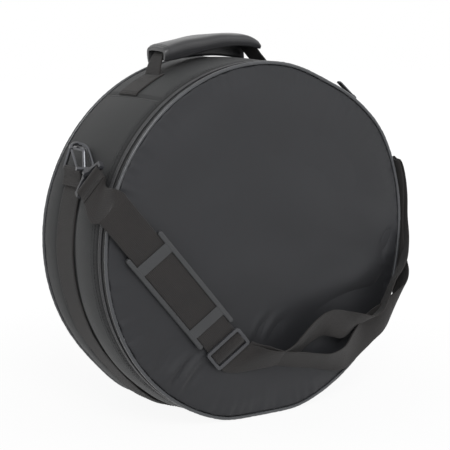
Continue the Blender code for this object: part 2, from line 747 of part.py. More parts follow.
def make_hook(build, side, label):
    """Snap hook: a bent wire body with a neck that turns in the yoke, and its spring gate."""
    hold, ahead, out = hook_axes(side)
    reach = HOOK_HALF_WIDTH
    path = [(HOOK_WIRE, reach)]
    for i in range(NOSE_STEPS + 1):
        angle = math.radians(90.0 + 180.0 * i / NOSE_STEPS)
        path.append((reach * math.cos(angle), reach * math.sin(angle)))
    for i in range(HEEL_STEPS + 1):
        angle = math.radians(-90.0 + 90.0 * i / HEEL_STEPS)
        path.append((HOOK_LENGTH - reach + reach * math.cos(angle), reach * math.sin(angle)))
    body = build.curve_mesh("hook_" + label, [hold + out * v + ahead * u for u, v in path], HOOK_WIRE, "metal")
    neck_start = HOOK_LENGTH - HOOK_WIRE
    neck_end = HOOK_LENGTH + HOOK_NECK + SWIVEL_LENGTH
    neck = build.rod("hook_neck_" + label, hold + ahead * neck_start, hold + ahead * neck_end,
                     HOOK_NECK_RADIUS, "metal", cutter=True)
    head_start = neck_end - HOOK_HEAD_THICK
    head = build.rod("hook_head_" + label, hold + ahead * head_start, hold + ahead * neck_end,
                     HOOK_HEAD_RADIUS, "metal", cutter=True)
    foot_start = out * -HOOK_NECK_RADIUS / 2 + ahead * HOOK_LENGTH
    foot_end = out * (reach + GATE_WIRE) + ahead * HOOK_LENGTH
    foot = build.rod("hook_foot_" + label, hold + foot_start, hold + foot_end, HOOK_FOOT_RADIUS, "metal",
                     cutter=True)
    for piece in (neck, head, foot):
        build.cut(body, piece, 'UNION')

    pivot = gate_pivot(side)
    tip = hold + out * reach + ahead * (HOOK_WIRE + GAP)
    build.rod("gate_" + label, pivot, tip, GATE_WIRE, "metal", sides=8)


def yoke_place(side):
    """Middle of a yoke's bar, its direction along the strap, along the bar and away from the bag."""
    hold, ahead, out = hook_axes(side)
    bar = hold + ahead * (HOOK_LENGTH + HOOK_NECK + YOKE_DROP)
    away = Vector((bar.x, 0.0, bar.z - CENTRE_Z)).normalized()
    along = ahead.cross(away).normalized()
    away = along.cross(ahead).normalized()
    return bar, ahead, along, away


def make_yoke(build, side, label):
    """Swivel yoke: a collar for the hook's neck, two arms and the bar that carries the webbing."""
    bar, ahead, along, away = yoke_place(side)
    half = YOKE_INNER / 2
    arm = YOKE_ARM
    top = YOKE_DROP - GAP
    collar = SWIVEL_RADIUS
    inner_top = YOKE_BAR_RADIUS + arm
    outline = [(-half - arm, YOKE_BAR_RADIUS), (-half - arm, -inner_top), (-collar - arm, -top + arm),
               (-collar, -top), (collar, -top), (collar + arm, -top + arm), (half + arm, -inner_top),
               (half + arm, YOKE_BAR_RADIUS), (half, YOKE_BAR_RADIUS), (half, -inner_top + arm / 2),
               (collar + arm, -top + arm * 2), (-collar - arm, -top + arm * 2), (-half, -inner_top + arm / 2),
               (-half, YOKE_BAR_RADIUS)]
    matrix = frame_matrix(bar, along, ahead)
    body = build.outline_mesh("yoke_" + label, [outline], YOKE_THICK, matrix, "nylon")
    reach = half + arm / 2
    rod = build.rod("yoke_bar_" + label, bar - along * reach, bar + along * reach, YOKE_BAR_RADIUS - GAP / 2,
                    "nylon", cutter=True)
    build.cut(body, rod, 'UNION')
    boss_start = bar - ahead * (top - GAP)
    boss_end = bar - ahead * (top - arm * 2 + GAP)
    boss = build.rod("yoke_boss_" + label, boss_start, boss_end, SWIVEL_RADIUS, "nylon", cutter=True)
    build.cut(body, boss, 'UNION')
    bore = build.rod("yoke_bore_" + label, bar - ahead * (top + arm), bar - ahead * (top - arm * 3),
                     HOOK_NECK_RADIUS + GAP, "nylon", cutter=True)
    build.cut(body, bore)
    return body


def tail_direction(side):
    """Where the rolled end of the webbing points: from the yoke's bar towards the lid's edge."""
    bar, ahead, along, away = yoke_place(side)
    target = side_place(math.radians(STRAP_RIM_TURN), -1.0, STRAP_LIFT)
    if side > 0:
        target = side_place(math.radians(RIGHT_FALL_TURN), RIGHT_FALL_SHARE, RIGHT_FALL_LIFT)
    tail = target - bar
    tail = (tail - along * tail.dot(along)).normalized()
    return bar, tail, along


def side_place(angle, depth_share, lift):
    """A point above the gusset at this angle, this share of half the depth and this lift."""
    radius = OUTER_RADIUS + lift
    return Vector((radius * math.cos(angle), HALF_DEPTH * depth_share, CENTRE_Z + radius * math.sin(angle)))


def lid_place(x_share, z_share, lift):
    """A point in front of the lid, by shares of the bag's radius from its centre."""
    x = BAG_RADIUS * x_share
    z = CENTRE_Z + BAG_RADIUS * z_share
    return Vector((x, face_y(x, z) - lift, z))


def strap_frame():
    """Frame of the strap's straight stretch on the lid: u down the strap, v across it, w off the lid."""
    middle = lid_place(PAD_X_SHARE, PAD_Z_SHARE, 0.0)
    ahead = Vector((STRAP_RUN_SHARE, 0.0, -STRAP_FALL_SHARE)).normalized()
    across = Vector((STRAP_FALL_SHARE, 0.0, STRAP_RUN_SHARE)).normalized()
    half_u = PAD_LENGTH / 2
    half_v = PAD_RAIL_GAP / 2 + PAD_RAIL

    def on_lid(u, v):
        """The lid's surface beyond the middle by u down the strap and v across it."""
        spot = middle + ahead * u + across * v
        return Vector((spot.x, face_y(spot.x, spot.z), spot.z))

    u_axis = (on_lid(half_u, 0.0) - on_lid(-half_u, 0.0)).normalized()
    v_axis = (on_lid(0.0, half_v) - on_lid(0.0, -half_v)).normalized()
    matrix = frame_matrix(middle, u_axis, v_axis)
    off = matrix.to_3x3() @ Vector((0.0, 0.0, 1.0))
    if off.y > 0.0:
        matrix = frame_matrix(middle, u_axis, -v_axis)
    upper = 1.0 if (matrix.to_3x3() @ Vector((0.0, 1.0, 0.0))).z > 0.0 else -1.0
    matrix = matrix @ Matrix.Rotation(math.radians(PAD_ROLL) * upper, 4, 'X')
    off = matrix.to_3x3() @ Vector((0.0, 0.0, 1.0))
    seats = [on_lid(half_u * i / 4, half_v * k / 2) for i in range(-4, 8) for k in range(-2, 3)]
    rise = max((seat - middle).dot(off) for seat in seats)
    matrix.translation = middle + off * (rise + GAP + PAD_THICK / 2)
    return matrix


def strap_rows():
    """Rows of (place, width direction) of the long webbing, from the left yoke to the right one."""
    matrix = strap_frame()
    turned = matrix.to_3x3()
    across = turned @ Vector((0.0, 1.0, 0.0))
    if across.z < 0.0:
        across = -across

    def straight(u, w):
        """A row on the straight stretch, this far down the strap and off its plane."""
        return (matrix @ Vector((u, 0.0, w)), across)

    bar, tail, along = tail_direction(-1.0)
    left_across = along if along.z > 0.0 else -along
    start = bar + tail * (STRAP_END_REACH + GAP)
    rim_angle = math.radians(STRAP_RIM_TURN)
    edge = Vector((math.sin(rim_angle), 0.0, -math.cos(rim_angle)))
    rows = [(start, left_across),
            (side_place(rim_angle, RIM_DEPTH_SHARES[0], STRAP_LIFT), edge),
            (side_place(rim_angle, RIM_DEPTH_SHARES[1], STRAP_LIFT / 2), edge),
            straight(-RIM_TO_PAD * RIM_RUN_SHARES[0], -STRAP_LIFT / 4)]
    rows += [straight(-RIM_TO_PAD * RIM_RUN_SHARES[1], 0.0), straight(-PAD_LENGTH / 2, 0.0),
             straight(PAD_LENGTH / 2, 0.0)]
    middle = SLIDE_PLACE
    pitch = (SLIDE_ALONG - SLIDE_BAR) / 2
    clear = SLIDE_THICK / 2 + WEBBING_THICK / 2 + GAP
    flat = SLIDE_BAR * 0.7
    weave = [(middle - pitch - flat, -clear), (middle - pitch + flat, -clear), (middle - flat, clear),
             (middle + flat, clear), (middle + pitch - flat, -clear), (middle + pitch + flat, -clear)]
    woven = [straight(u, w) for u, w in weave]
    return rows, woven, hanging_rows(UPPER_ROUTE_SHARES, 1.0)


def hanging_rows(route, sign):
    """Rows of one hanging layer, up to its sewn end at the right yoke: outer (1) or inner (-1)."""
    rows = []
    free = strap_frame() @ Vector((SLIDE_PLACE + SLIDE_ALONG / 2, 0.0, 0.0))
    for kind, one, two, lift_share, width in route:
        lift = HANG_LIFT * lift_share
        if kind == "lid":
            place = lid_place(free.x / BAG_RADIUS + one, (free.z - CENTRE_Z) / BAG_RADIUS + two, lift)
        else:
            place = side_place(math.radians(one), two, lift)
        rows.append((place, Vector(width).normalized()))
    bar, tail, along = tail_direction(1.0)
    across = along if along.z > 0.0 else -along
    away = tail.cross(along).normalized()
    if away.x < 0.0:
        away = -away
    offset = away * sign * (WEBBING_THICK + GAP) / 2
    start = bar + tail * (STRAP_END_REACH + GAP) + offset
    return rows + [(start + tail * STRAP_END_REACH + offset, across), (start, across)]


def smooth_rows(rows, steps):
    """The same rows with smoothed ones between them."""
    blended = smooth_route([tuple(place) + tuple(across.normalized()) for place, across in rows], steps)
    return [(Vector(row[:3]), Vector(row[3:])) for row in blended]


def make_strap(build):
    """Long webbing, return webbing, the rolled ends on the yokes, the pad and the length slider."""
    left, woven, after = strap_rows()
    rows = smooth_rows(left[:5], 3)[:-1] + left[4:] + woven
    rest = smooth_rows([woven[-1]] + after, 3)[1:]
    build.loft("strap_long", strip_sections(rows + rest, WEBBING, WEBBING_THICK), "webbing")

    under = smooth_rows(hanging_rows(LOWER_ROUTE_SHARES, -1.0), 3)
    build.loft("strap_return", strip_sections(under, WEBBING, WEBBING_THICK), "webbing")

    for side, label in ((-1.0, "left"), (1.0, "right")):
        bar, tail, along = tail_direction(side)
        matrix = frame_matrix(bar, tail, tail.cross(along))
        build.outline_mesh("strap_end_" + label, rolled_end(YOKE_BAR_RADIUS, STRAP_END_REACH),
                           WEBBING - GAP, matrix, "webbing")
    make_pad(build)
    make_length_slider(build)


def make_pad(build):
    """H-shaped moulded pad: two rails joined by two cross bars, with a slot for the webbing."""
    matrix = strap_frame()
    half_gap = PAD_RAIL_GAP / 2
    half_long = PAD_LENGTH / 2
    rail = shifted(rounded_box(half_long, PAD_RAIL / 2, PAD_ROUND), 0.0, half_gap + PAD_RAIL / 2)
    lower = shifted(rounded_box(half_long, PAD_RAIL / 2, PAD_ROUND), 0.0, -half_gap - PAD_RAIL / 2)
    body = build.outline_mesh("shoulder_pad", [rail], PAD_THICK, matrix, "rubber", bevel=PAD_EDGE)
    other = build.outline_mesh("pad_rail", [lower], PAD_THICK, matrix, "rubber", bevel=PAD_EDGE, cutter=True)
    build.cut(body, other, 'UNION')
    for sign in (-1.0, 1.0):
        place = matrix @ Matrix.Translation((sign * (half_long - PAD_BAR_INSET - PAD_BAR / 2), 0.0, 0.0))
        bar = build.block("pad_bar", place, PAD_BAR, PAD_RAIL_GAP + PAD_RAIL, PAD_THICK - PAD_EDGE, "rubber",
                          cutter=True)
        build.cut(body, bar, 'UNION')
    slot = build.block("pad_slot", matrix, PAD_LENGTH * 1.2, WEBBING + GAP * 2, WEBBING_THICK + GAP * 2,
                       "rubber", cutter=True)
    build.cut(body, slot)


def make_length_slider(build):
    """Three-bar slider that sets the strap's length."""
    matrix = strap_frame() @ Matrix.Translation((SLIDE_PLACE, 0.0, 0.0))
    half_window = (SLIDE_ALONG - SLIDE_BAR * 3) / 4
    shift = half_window + SLIDE_BAR / 2
    window = rounded_box(half_window, SLIDE_ACROSS / 2 - SLIDE_BAR, SLIDE_BAR / 4, steps=2)
    outline = rounded_box(SLIDE_ALONG / 2, SLIDE_ACROSS / 2, SLIDE_BAR, steps=3)
    build.outline_mesh("length_slider", [outline, shifted(window, shift, 0.0), shifted(window, -shift, 0.0)],
                       SLIDE_THICK, matrix, "nylon")


def make_zip_car(build, label, degrees, heading):
    """Zip slider and its pull. heading is 1 when the pull lies towards greater angles."""
    angle = math.radians(degrees)
    outward = Vector((math.cos(angle), 0.0, math.sin(angle)))
    tangent = Vector((-math.sin(angle), 0.0, math.cos(angle))) * heading
    across = Vector((0.0, 1.0, 0.0))
    foot = Vector((0.0, ZIP_Y, CENTRE_Z))
    plate_in = WALL_IN - CAR_CLEAR - CAR_PLATE / 2
    plate_out = WALL_OUT + COIL_HEIGHT + CAR_CLEAR + CAR_PLATE / 2
    matrix = frame_matrix(foot + outward * plate_out, tangent, across)
    body = build.block("zip_slider_" + label, matrix, CAR_LENGTH, CAR_WIDTH, CAR_PLATE, "metal")
    inner = frame_matrix(foot + outward * plate_in, tangent, across)
    under = build.block("car_under", inner, CAR_LENGTH, CAR_WIDTH, CAR_PLATE, "metal", cutter=True)
    web_place = frame_matrix(foot + outward * (plate_in + plate_out) / 2, tangent, across)
    web = build.block("car_web", web_place, CAR_LENGTH / 2, CAR_WEB, plate_out - plate_in, "metal", cutter=True)
    top = plate_out + CAR_PLATE / 2
    half_line = [(BAIL_HALF, -CAR_PLATE / 2)]
    half_line += [(BAIL_HALF * run_share, BAIL_RISE * rise_share) for run_share, rise_share in BAIL_LINE_SHARES]
    bail_line = [(-u, w) for u, w in half_line] + list(reversed(half_line))
    bail = build.curve_mesh("car_bail", [foot + tangent * u + outward * (top + w) for u, w in bail_line],
                            BAIL_WIRE, "metal", resolution=1)
    build.hide_as_cutter(bail)
    for piece in (under, web, bail):
        build.cut(body, piece, 'UNION')

    pin = foot + outward * (top + PULL_RISE)
    pull_place = frame_matrix(pin, tangent, across)
    length = PULL_LENGTH
    outline = shifted(rounded_box(length / 2, PULL_WIDTH / 2, PULL_WIDTH / 4, steps=2), length / 2 - PULL_PIN, 0.0)
    eye_half = BAIL_HALF - PULL_PIN / 2 + BAIL_WIRE
    eye = shifted(rounded_box(eye_half, PULL_WIDTH / 2 - PULL_PIN, PULL_PIN / 2, steps=1),
                  eye_half + PULL_PIN / 2, 0.0)
    build.outline_mesh("zip_pull_" + label, [outline, eye], PULL_THICK, pull_place, "metal")
    build.seat_origin(["zip_pull_" + label], pin)


def seat_origins(build):
    """Put each moving sub-part's origin on the axis of its joint."""
    build.seat_origin(["lid_panel", "lid_foam", "lid_lining", "lid_piping", "zip_lid_half"],
                      Vector((0.0, -HALF_DEPTH, 0.0)))
    build.seat_origin(["handle_loop", "handle_grip"], handle_axes()[0])
    build.seat_origin(["zip_slider_upper", "zip_slider_lower"], Vector((0.0, ZIP_Y, CENTRE_Z)))
    pad_frame = strap_frame()
    build.seat_origin(["shoulder_pad"], pad_frame.translation)
    build.seat_origin(["length_slider"], pad_frame @ Vector((SLIDE_PLACE, 0.0, 0.0)))
    for side, label in ((-1.0, "left"), (1.0, "right")):
        hold, ahead, out = hook_axes(side)
        bar = yoke_place(side)[0]
        build.seat_origin(["hook_" + label], hold)
        build.seat_origin(["gate_" + label], gate_pivot(side))
        build.seat_origin(["yoke_" + label, "strap_end_" + label], bar)


def main():
    """The whole bag."""
    build = Builder()
    make_case(build)
    make_band(build)
    for side, label in ((-1.0, "left"), (1.0, "right")):
        make_ring_and_tab(build, side, label)
        make_hook(build, side, label)
        make_yoke(build, side, label)
    make_handle(build)
    make_strap(build)
    make_zip_car(build, "upper", CAR_ANGLE + CAR_SPREAD / 2, 1.0)
    make_zip_car(build, "lower", CAR_ANGLE - CAR_SPREAD / 2, -1.0)
    seat_origins(build)


main()
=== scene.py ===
"""Looks of the round padded snare drum bag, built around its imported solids.

Metres, X to the right, the lid faces -Y, Z up. The bag's axis runs along Y at the height CENTRE_Z.
Soft pieces are surfaces worked out as whole arrays; the same sizes as in the solids' source stand below.
"""
import math

import bpy
import numpy as np
from mathutils import Matrix, Vector


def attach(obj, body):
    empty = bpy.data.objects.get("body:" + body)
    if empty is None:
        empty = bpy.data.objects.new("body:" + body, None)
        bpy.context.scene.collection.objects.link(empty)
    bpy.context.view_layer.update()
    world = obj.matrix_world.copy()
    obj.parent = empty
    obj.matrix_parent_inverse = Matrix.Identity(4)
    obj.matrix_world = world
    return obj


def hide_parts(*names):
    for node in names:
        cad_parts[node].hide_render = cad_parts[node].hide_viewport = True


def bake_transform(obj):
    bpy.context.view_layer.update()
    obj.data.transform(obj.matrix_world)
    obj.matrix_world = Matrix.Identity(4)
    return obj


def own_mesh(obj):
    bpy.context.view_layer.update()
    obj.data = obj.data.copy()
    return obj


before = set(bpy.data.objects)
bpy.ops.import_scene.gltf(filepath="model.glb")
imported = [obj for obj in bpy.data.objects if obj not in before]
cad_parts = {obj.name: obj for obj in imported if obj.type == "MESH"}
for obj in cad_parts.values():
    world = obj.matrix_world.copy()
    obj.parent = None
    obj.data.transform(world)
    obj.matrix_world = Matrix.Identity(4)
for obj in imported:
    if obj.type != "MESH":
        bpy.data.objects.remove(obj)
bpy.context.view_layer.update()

# Case, as in the solids
BAG_RADIUS = 0.196
HALF_DEPTH = 0.070
PIPING_RADIUS = 0.0022
PIPING_SEEN = 0.0019      # the cord without the room that the solids leave round it
OUTER_RADIUS = BAG_RADIUS + PIPING_RADIUS
CENTRE_Z = OUTER_RADIUS - 0.0045
CLOTH = 0.0012
GAP = 0.0003
WALL_OUT = BAG_RADIUS + 0.0005
WALL_IN = WALL_OUT - CLOTH
FOAM_IN = WALL_IN - GAP - 0.006
PANEL_EDGE = BAG_RADIUS - PIPING_RADIUS - GAP
PANEL_FOAM = 0.007
LINING = 0.0010
CROWN = 0.0105
CROWN_POWER = 3.2
RIM_Y = HALF_DEPTH - PIPING_RADIUS - GAP
ZIP_Y = -HALF_DEPTH + 0.0115
TAPE_BACK_Y = ZIP_Y + 0.0115
ZIP_END_TURN = 26.0
SEAM_TURN = 36.51
WEBBING = 0.038
WEBBING_THICK = 0.0016
BAND_Y = 0.017
BAND_OUT = WALL_OUT + GAP / 2 + WEBBING_THICK
TAB_TURN = 66.1
TAB_REACH = 0.017
RING_WIRE = 0.0021
FOOT_SPAN = 0.143
HANDLE_TURN = 3.6
HANDLE_Y = 0.022
TAIL_REACH = 0.039
YOKE_BAR_RADIUS = 0.0022
STRAP_END_REACH = 0.0140

# Places and directions of the hardware, as in the solids
RING_BAR = (0.18532, 0.017, 0.27582)
YOKE_BAR = (0.1934, -0.03226, 0.2707)
YOKE_ALONG = (-0.30307, -0.57332, 0.76122)
TAIL_AHEAD = {-1: (-0.03685, -0.80524, -0.5918), 1: (0.14446, -0.8172, -0.55796)}
TAB_TAIL = (0.22082, 0.0, -0.97532)
TAB_OUTWARD = (0.91425, 0.0, 0.40514)
HANDLE_FOOT = (-0.01149, 0.022, 0.37637)
HANDLE_ALONG = (0.99803, 0.0, 0.06279)
HANDLE_UP = (-0.06279, 0.0, 0.99803)

# Ways of the webbing's width along the pad and at the right yoke
PAD_SIDE = (0.74, -0.213, 0.638)
YOKE_SIDE = (-0.303, -0.573, 0.761)
# The straps' lines: place, then the direction of the width
RIM_ROUTE = [
    (-0.19393, -0.04378, 0.26224, 0.303, -0.573, 0.761), (-0.19341, -0.0546, 0.24916, 0.276, 0.0, 0.961),
    (-0.19196, -0.0728, 0.24874, 0.276, 0.0, 0.961), (-0.1929, -0.08096, 0.24638, *PAD_SIDE),
    (-0.18377, -0.0821, 0.23542, *PAD_SIDE),
]
PAD_ROUTE = [
    (-0.16047, -0.08311, 0.20805, *PAD_SIDE), (-0.07233, -0.08692, 0.10454, *PAD_SIDE),
]
WEAVE_ROUTE = [
    (-0.06585, -0.08464, 0.09779, *PAD_SIDE), (-0.06258, -0.08478, 0.09395, *PAD_SIDE),
    (-0.05985, -0.09002, 0.08903, *PAD_SIDE), (-0.05659, -0.09016, 0.0852, *PAD_SIDE),
    (-0.05198, -0.08524, 0.0815, *PAD_SIDE), (-0.04872, -0.08538, 0.07766, *PAD_SIDE),
]
UPPER_ROUTE = [
    (-0.0414, -0.0875, 0.0739, 0.7, -0.38, 0.61), (-0.0295, -0.0918, 0.0711, 0.45, -0.6, 0.64),
    (-0.0106, -0.0949, 0.07, 0.11, -0.74, 0.64), (0.0063, -0.0938, 0.0695, -0.19, -0.76, 0.6),
    (0.0248, -0.0939, 0.0743, -0.37, -0.67, 0.64), (0.0411, -0.0954, 0.0877, -0.49, -0.63, 0.61),
    (0.0567, -0.0969, 0.0979, -0.51, -0.53, 0.67), (0.0734, -0.0976, 0.1, -0.46, -0.4, 0.79),
    (0.0962, -0.095, 0.0969, -0.29, -0.45, 0.85), (0.1168, -0.093, 0.0977, -0.31, -0.76, 0.57),
    (0.134, -0.0917, 0.0982, -0.39, -0.85, 0.34), (0.1491, -0.0912, 0.1053, -0.45, -0.85, 0.24),
    (0.1588, -0.091, 0.1205, -0.46, -0.84, 0.28), (0.167, -0.0903, 0.1358, -0.44, -0.82, 0.36),
    (0.18, -0.086, 0.147, -0.38, -0.84, 0.4), (0.1925, -0.0775, 0.158, -0.28, -0.82, 0.5),
    (0.2005, -0.066, 0.178, -0.12, -0.8, 0.59), (0.203, -0.0555, 0.2046, -0.03, -0.782, 0.622),
    (0.1993, -0.0555, 0.2555, *YOKE_SIDE), (0.1964, -0.044, 0.263, *YOKE_SIDE),
]
LOWER_ROUTE = [
    (-0.045, -0.085, 0.0775, 0.7, -0.25, 0.66), (-0.03, -0.087, 0.0738, 0.55, -0.5, 0.67),
    (-0.013, -0.0905, 0.0715, 0.28, -0.7, 0.655), (0.006, -0.0925, 0.069, 0.02, -0.82, 0.57),
    (0.0297, -0.0926, 0.0645, -0.22, -0.77, 0.6), (0.0591, -0.0902, 0.058, -0.36, -0.72, 0.58),
    (0.0814, -0.0895, 0.0542, -0.4, -0.64, 0.64), (0.1, -0.0875, 0.0555, -0.26, -0.46, 0.84),
    (0.116, -0.0835, 0.065, -0.1, -0.24, 0.96), (0.131, -0.08, 0.075, 0.0, -0.1, 0.99),
    (0.148, -0.079, 0.085, 0.02, -0.1, 0.99), (0.169, -0.079, 0.0965, 0.03, -0.24, 0.97),
    (0.1862, -0.0785, 0.112, 0.0, -0.5, 0.86), (0.1962, -0.0715, 0.132, -0.02, -0.68, 0.73),
    (0.1968, -0.06, 0.162, -0.02, -0.74, 0.67), (0.2, -0.051, 0.2043, -0.03, -0.782, 0.622),
    (0.1957, -0.0553, 0.2543, *YOKE_SIDE), (0.1946, -0.0439, 0.2624, *YOKE_SIDE),
]

# Real sizes of the patterns
WEAVE_PITCH = 0.0011      # 600 denier cloth has threads 0.45 mm apart; drawn coarser so that it shows
RIB_PITCH = 0.0019        # ribs along the webbing
PICK_PITCH = 0.0016       # picks across the webbing
GRAIN_SIZE = 0.0013       # pebbles of the coated cloth on the grip
TOOTH_PITCH = 0.0020      # turns of the nylon coil
STITCH_PITCH = 0.0036
STITCH_LENGTH = 0.0026
THREAD_RADIUS = 0.00032
WAVE_PERIOD = math.tau / 20.0      # of Blender's wave texture, at scale 1
THREAD_TONE, PEBBLE_TONE = 0.16, -0.12   # share of the pattern in a material's tone
GRAIN_SPREAD = 0.05       # size of the slow changes of tone on grained materials
BOX_PITCH, BOX_LENGTH = 0.0030, 0.0023   # stitches of the sewn boxes
BOX_MARGIN = 0.007        # webbing's width less the width of the box sewn on it
EDGE_INSET = 0.0028       # from the webbing's edge to the stitches beside it


# Colour and material

def linear(hex_colour):
    """An sRGB hex colour as linear light."""
    parts = np.array([int(hex_colour[i:i + 2], 16) for i in (0, 2, 4)]) / 255.0
    low = parts / 12.92
    high = ((parts + 0.055) / 1.055) ** 2.4
    return (*np.where(parts <= 0.04045, low, high), 1.0)


def add_node(tree, kind, settings=None, **links):
    """A node of this kind, with its settings by name or socket number and its inputs linked or set."""
    node = tree.nodes.new(kind)
    for name, value in (settings or {}).items():
        setattr(node, name, value)
    for name, value in links.items():
        slot = int(name[1:]) if name[0] == "i" and name[1:].isdigit() else name.replace("_", " ")
        socket = node.inputs[slot]
        if isinstance(value, bpy.types.NodeSocket):
            tree.links.new(value, socket)
        else:
            socket.default_value = value
    return node


def empty_tree(owner):
    """The node tree of a material or world, with nothing in it."""
    owner.use_nodes = True
    owner.node_tree.nodes.clear()
    return owner.node_tree


def calculate(tree, operation, *values):
    """Result of a math node on these values."""
    links = {f"i{place}": value for place, value in enumerate(values)}
    return add_node(tree, "ShaderNodeMath", {"operation": operation}, **links).outputs[0]


def start_material(name, roughness, **values):
    """A material with its shader, whose constant values stand on the shader's own sockets."""
    material = bpy.data.materials.new(name)
    tree = empty_tree(material)
    shader = add_node(tree, "ShaderNodeBsdfPrincipled", Roughness=roughness, **values)
    add_node(tree, "ShaderNodeOutputMaterial", i0=shader.outputs[0])
    return material, tree, shader


def scaled_place(tree, scale=1.0, source="Object"):
    """Object coordinates, or the piece's own UV map in metres, times a scale."""
    coordinate = add_node(tree, "ShaderNodeTexCoord")
    mapping = add_node(tree, "ShaderNodeMapping", Vector=coordinate.outputs[source], Scale=(scale,) * 3)
    return mapping.outputs[0]


def slow_tone(tree, spread, detail, roughness):
    """Slow changes of tone, about as wide as spread says."""
    return add_node(tree, "ShaderNodeTexNoise", Vector=scaled_place(tree), Scale=1.0 / spread, Detail=detail,
                    Roughness=roughness).outputs[0]


def surface(tree, shader, pattern, share, tone, colours, start, relief, depth):
    """The shader's colour, dark to light from the tone plus a share of the pattern, and its bump from the
    pattern."""
    ramp = add_node(tree, "ShaderNodeValToRGB", Fac=calculate(tree, "MULTIPLY_ADD", pattern, share, tone))
    for element, place, colour in zip(ramp.color_ramp.elements, (start, 1.0 - start), colours):
        element.position, element.color = place, linear(colour)
    tree.links.new(ramp.outputs[0], shader.inputs["Base Color"])
    bump = add_node(tree, "ShaderNodeBump", Strength=relief, Distance=depth, Height=pattern)
    tree.links.new(bump.outputs[0], shader.inputs["Normal"])


def woven(name, dark, light, warp_pitch, weft_pitch, roughness, relief, mottle=0.035, start=0.30, **values):
    """Cloth: crossed threads as bumps on the piece's own UV map, and slow changes of tone."""
    material, tree, shader = start_material(name, roughness, **values)
    threads = []
    for axis, pitch in (("X", warp_pitch), ("Y", weft_pitch)):
        wave = add_node(tree, "ShaderNodeTexWave", {"bands_direction": axis, "wave_profile": "SIN"},
                        Vector=scaled_place(tree, WAVE_PERIOD / pitch, "UV"), Scale=1.0, Distortion=0.35,
                        Detail=1.0, Detail_Scale=1.5)
        threads.append(wave.outputs[1])
    surface(tree, shader, calculate(tree, "MULTIPLY", *threads), THREAD_TONE,
            slow_tone(tree, mottle, 6.0, 0.62), (dark, light), start, relief, warp_pitch * 0.3)
    return material


def grained(name, dark, light, size, roughness, relief, **values):
    """Coated cloth or moulded rubber: pebbled cells of this size over slow changes of tone."""
    material, tree, shader = start_material(name, roughness, **values)
    cells = add_node(tree, "ShaderNodeTexVoronoi", {"feature": "SMOOTH_F1"}, Vector=scaled_place(tree),
                     Scale=1.0 / size, Smoothness=0.6)
    surface(tree, shader, cells.outputs[0], PEBBLE_TONE, slow_tone(tree, GRAIN_SPREAD, 5.0, 0.6),
            (dark, light), 0.30, relief, size * 0.25)
    return material


MATERIALS = {
    # plain woven polyester with a thin coating: matt, with a soft sheen across the folds
    "cloth": woven("polyester_cloth_woven", "212225", "27282c", WEAVE_PITCH, WEAVE_PITCH,
                   0.62, 0.30, mottle=0.11, start=0.25, Sheen_Weight=0.10, Sheen_Roughness=0.45),
    # the gusset's cloth is the lid's cloth drawn darker, as painted shade for the stronger light that reaches
    # the sides and top
    "gusset": woven("polyester_cloth_gusset_painted_shade", "1e1f20", "252728", WEAVE_PITCH, WEAVE_PITCH,
                    0.66, 0.35, mottle=0.06, start=0.25, Sheen_Weight=0.10, Sheen_Roughness=0.45),
    # the same cloth pulled round a cord: the coating shines more on the tight curve, and its colour is drawn
    # lighter than the cloth's as a painted highlight along the cord
    "piping": woven("polyester_piping_painted_highlight", "404245", "4c4e52", WEAVE_PITCH, WEAVE_PITCH, 0.34, 0.20,
                    Sheen_Weight=0.30, Sheen_Roughness=0.35, Coat_Weight=0.35, Coat_Roughness=0.28),
    # polypropylene webbing: deep ribs, brownish black, almost no shine
    "webbing": woven("polypropylene_webbing_ribbed", "222020", "2a2726", PICK_PITCH,
                     RIB_PITCH, 0.82, 0.65, Sheen_Weight=0.10, Sheen_Roughness=0.6),
    # smooth nylon, closed-cell foam, and the zip's tape and coil
    "lining": woven("nylon_lining_plain", "161618", "1e1e20", WEAVE_PITCH, WEAVE_PITCH, 0.55, 0.2),
    "foam": grained("polyethylene_foam_closed_cell", "2e2e30", "38383a", 0.0012, 0.9, 0.4),
    "tape": woven("polyester_zip_tape_woven", "202021", "292a2b", 0.0009, 0.0012, 0.8, 0.4),
    "coil": grained("nylon_coil_extruded", "3a3a3c", "464648", 0.0020, 0.34, 0.1),
    # coated cloth with a pressed leather grain: satin, brighter along the bend
    "leather": grained("coated_cloth_leather_grain", "323234", "3c3c3f", GRAIN_SIZE, 0.38,
                       0.30, Coat_Weight=0.22, Coat_Roughness=0.30),
    # the pad's moulding, the yokes and length slider, the castings, and the sewing thread
    "rubber": grained("thermoplastic_rubber_moulded", "404143", "4a4b4d", 0.0007, 0.50, 0.2),
    "nylon": grained("nylon_injection_moulded", "45464a", "535458", 0.0006, 0.36, 0.12),
    "metal": grained("zinc_casting_black_nickel", "505154", "68696d", 0.0009, 0.28, 0.08,
                     Metallic=0.75),
    "thread": grained("bonded_nylon_thread", "2c2c2d", "3a3a3c", 0.0005, 0.6, 0.3),
}


# Meshes from whole arrays

def unit(vectors):
    """Vectors brought to length one."""
    vectors = np.asarray(vectors, float)
    return vectors / np.maximum(np.linalg.norm(vectors, axis=-1, keepdims=True), 1e-12)


def volume_of(points, quads):
    """Signed volume inside quads, open ends left out: a sixth of the sum of each triangle's box product."""
    corners = points[quads]
    total = 0.0
    for i, j, k in ((0, 1, 2), (0, 2, 3)):
        total += np.einsum("ij,ij->", corners[:, i], np.cross(corners[:, j], corners[:, k]))
    return total / 6.0


def add_object(name, data):
    """An object in the scene for a mesh, lamp or camera."""
    item = bpy.data.objects.new(name, data)
    bpy.context.scene.collection.objects.link(item)
    return item


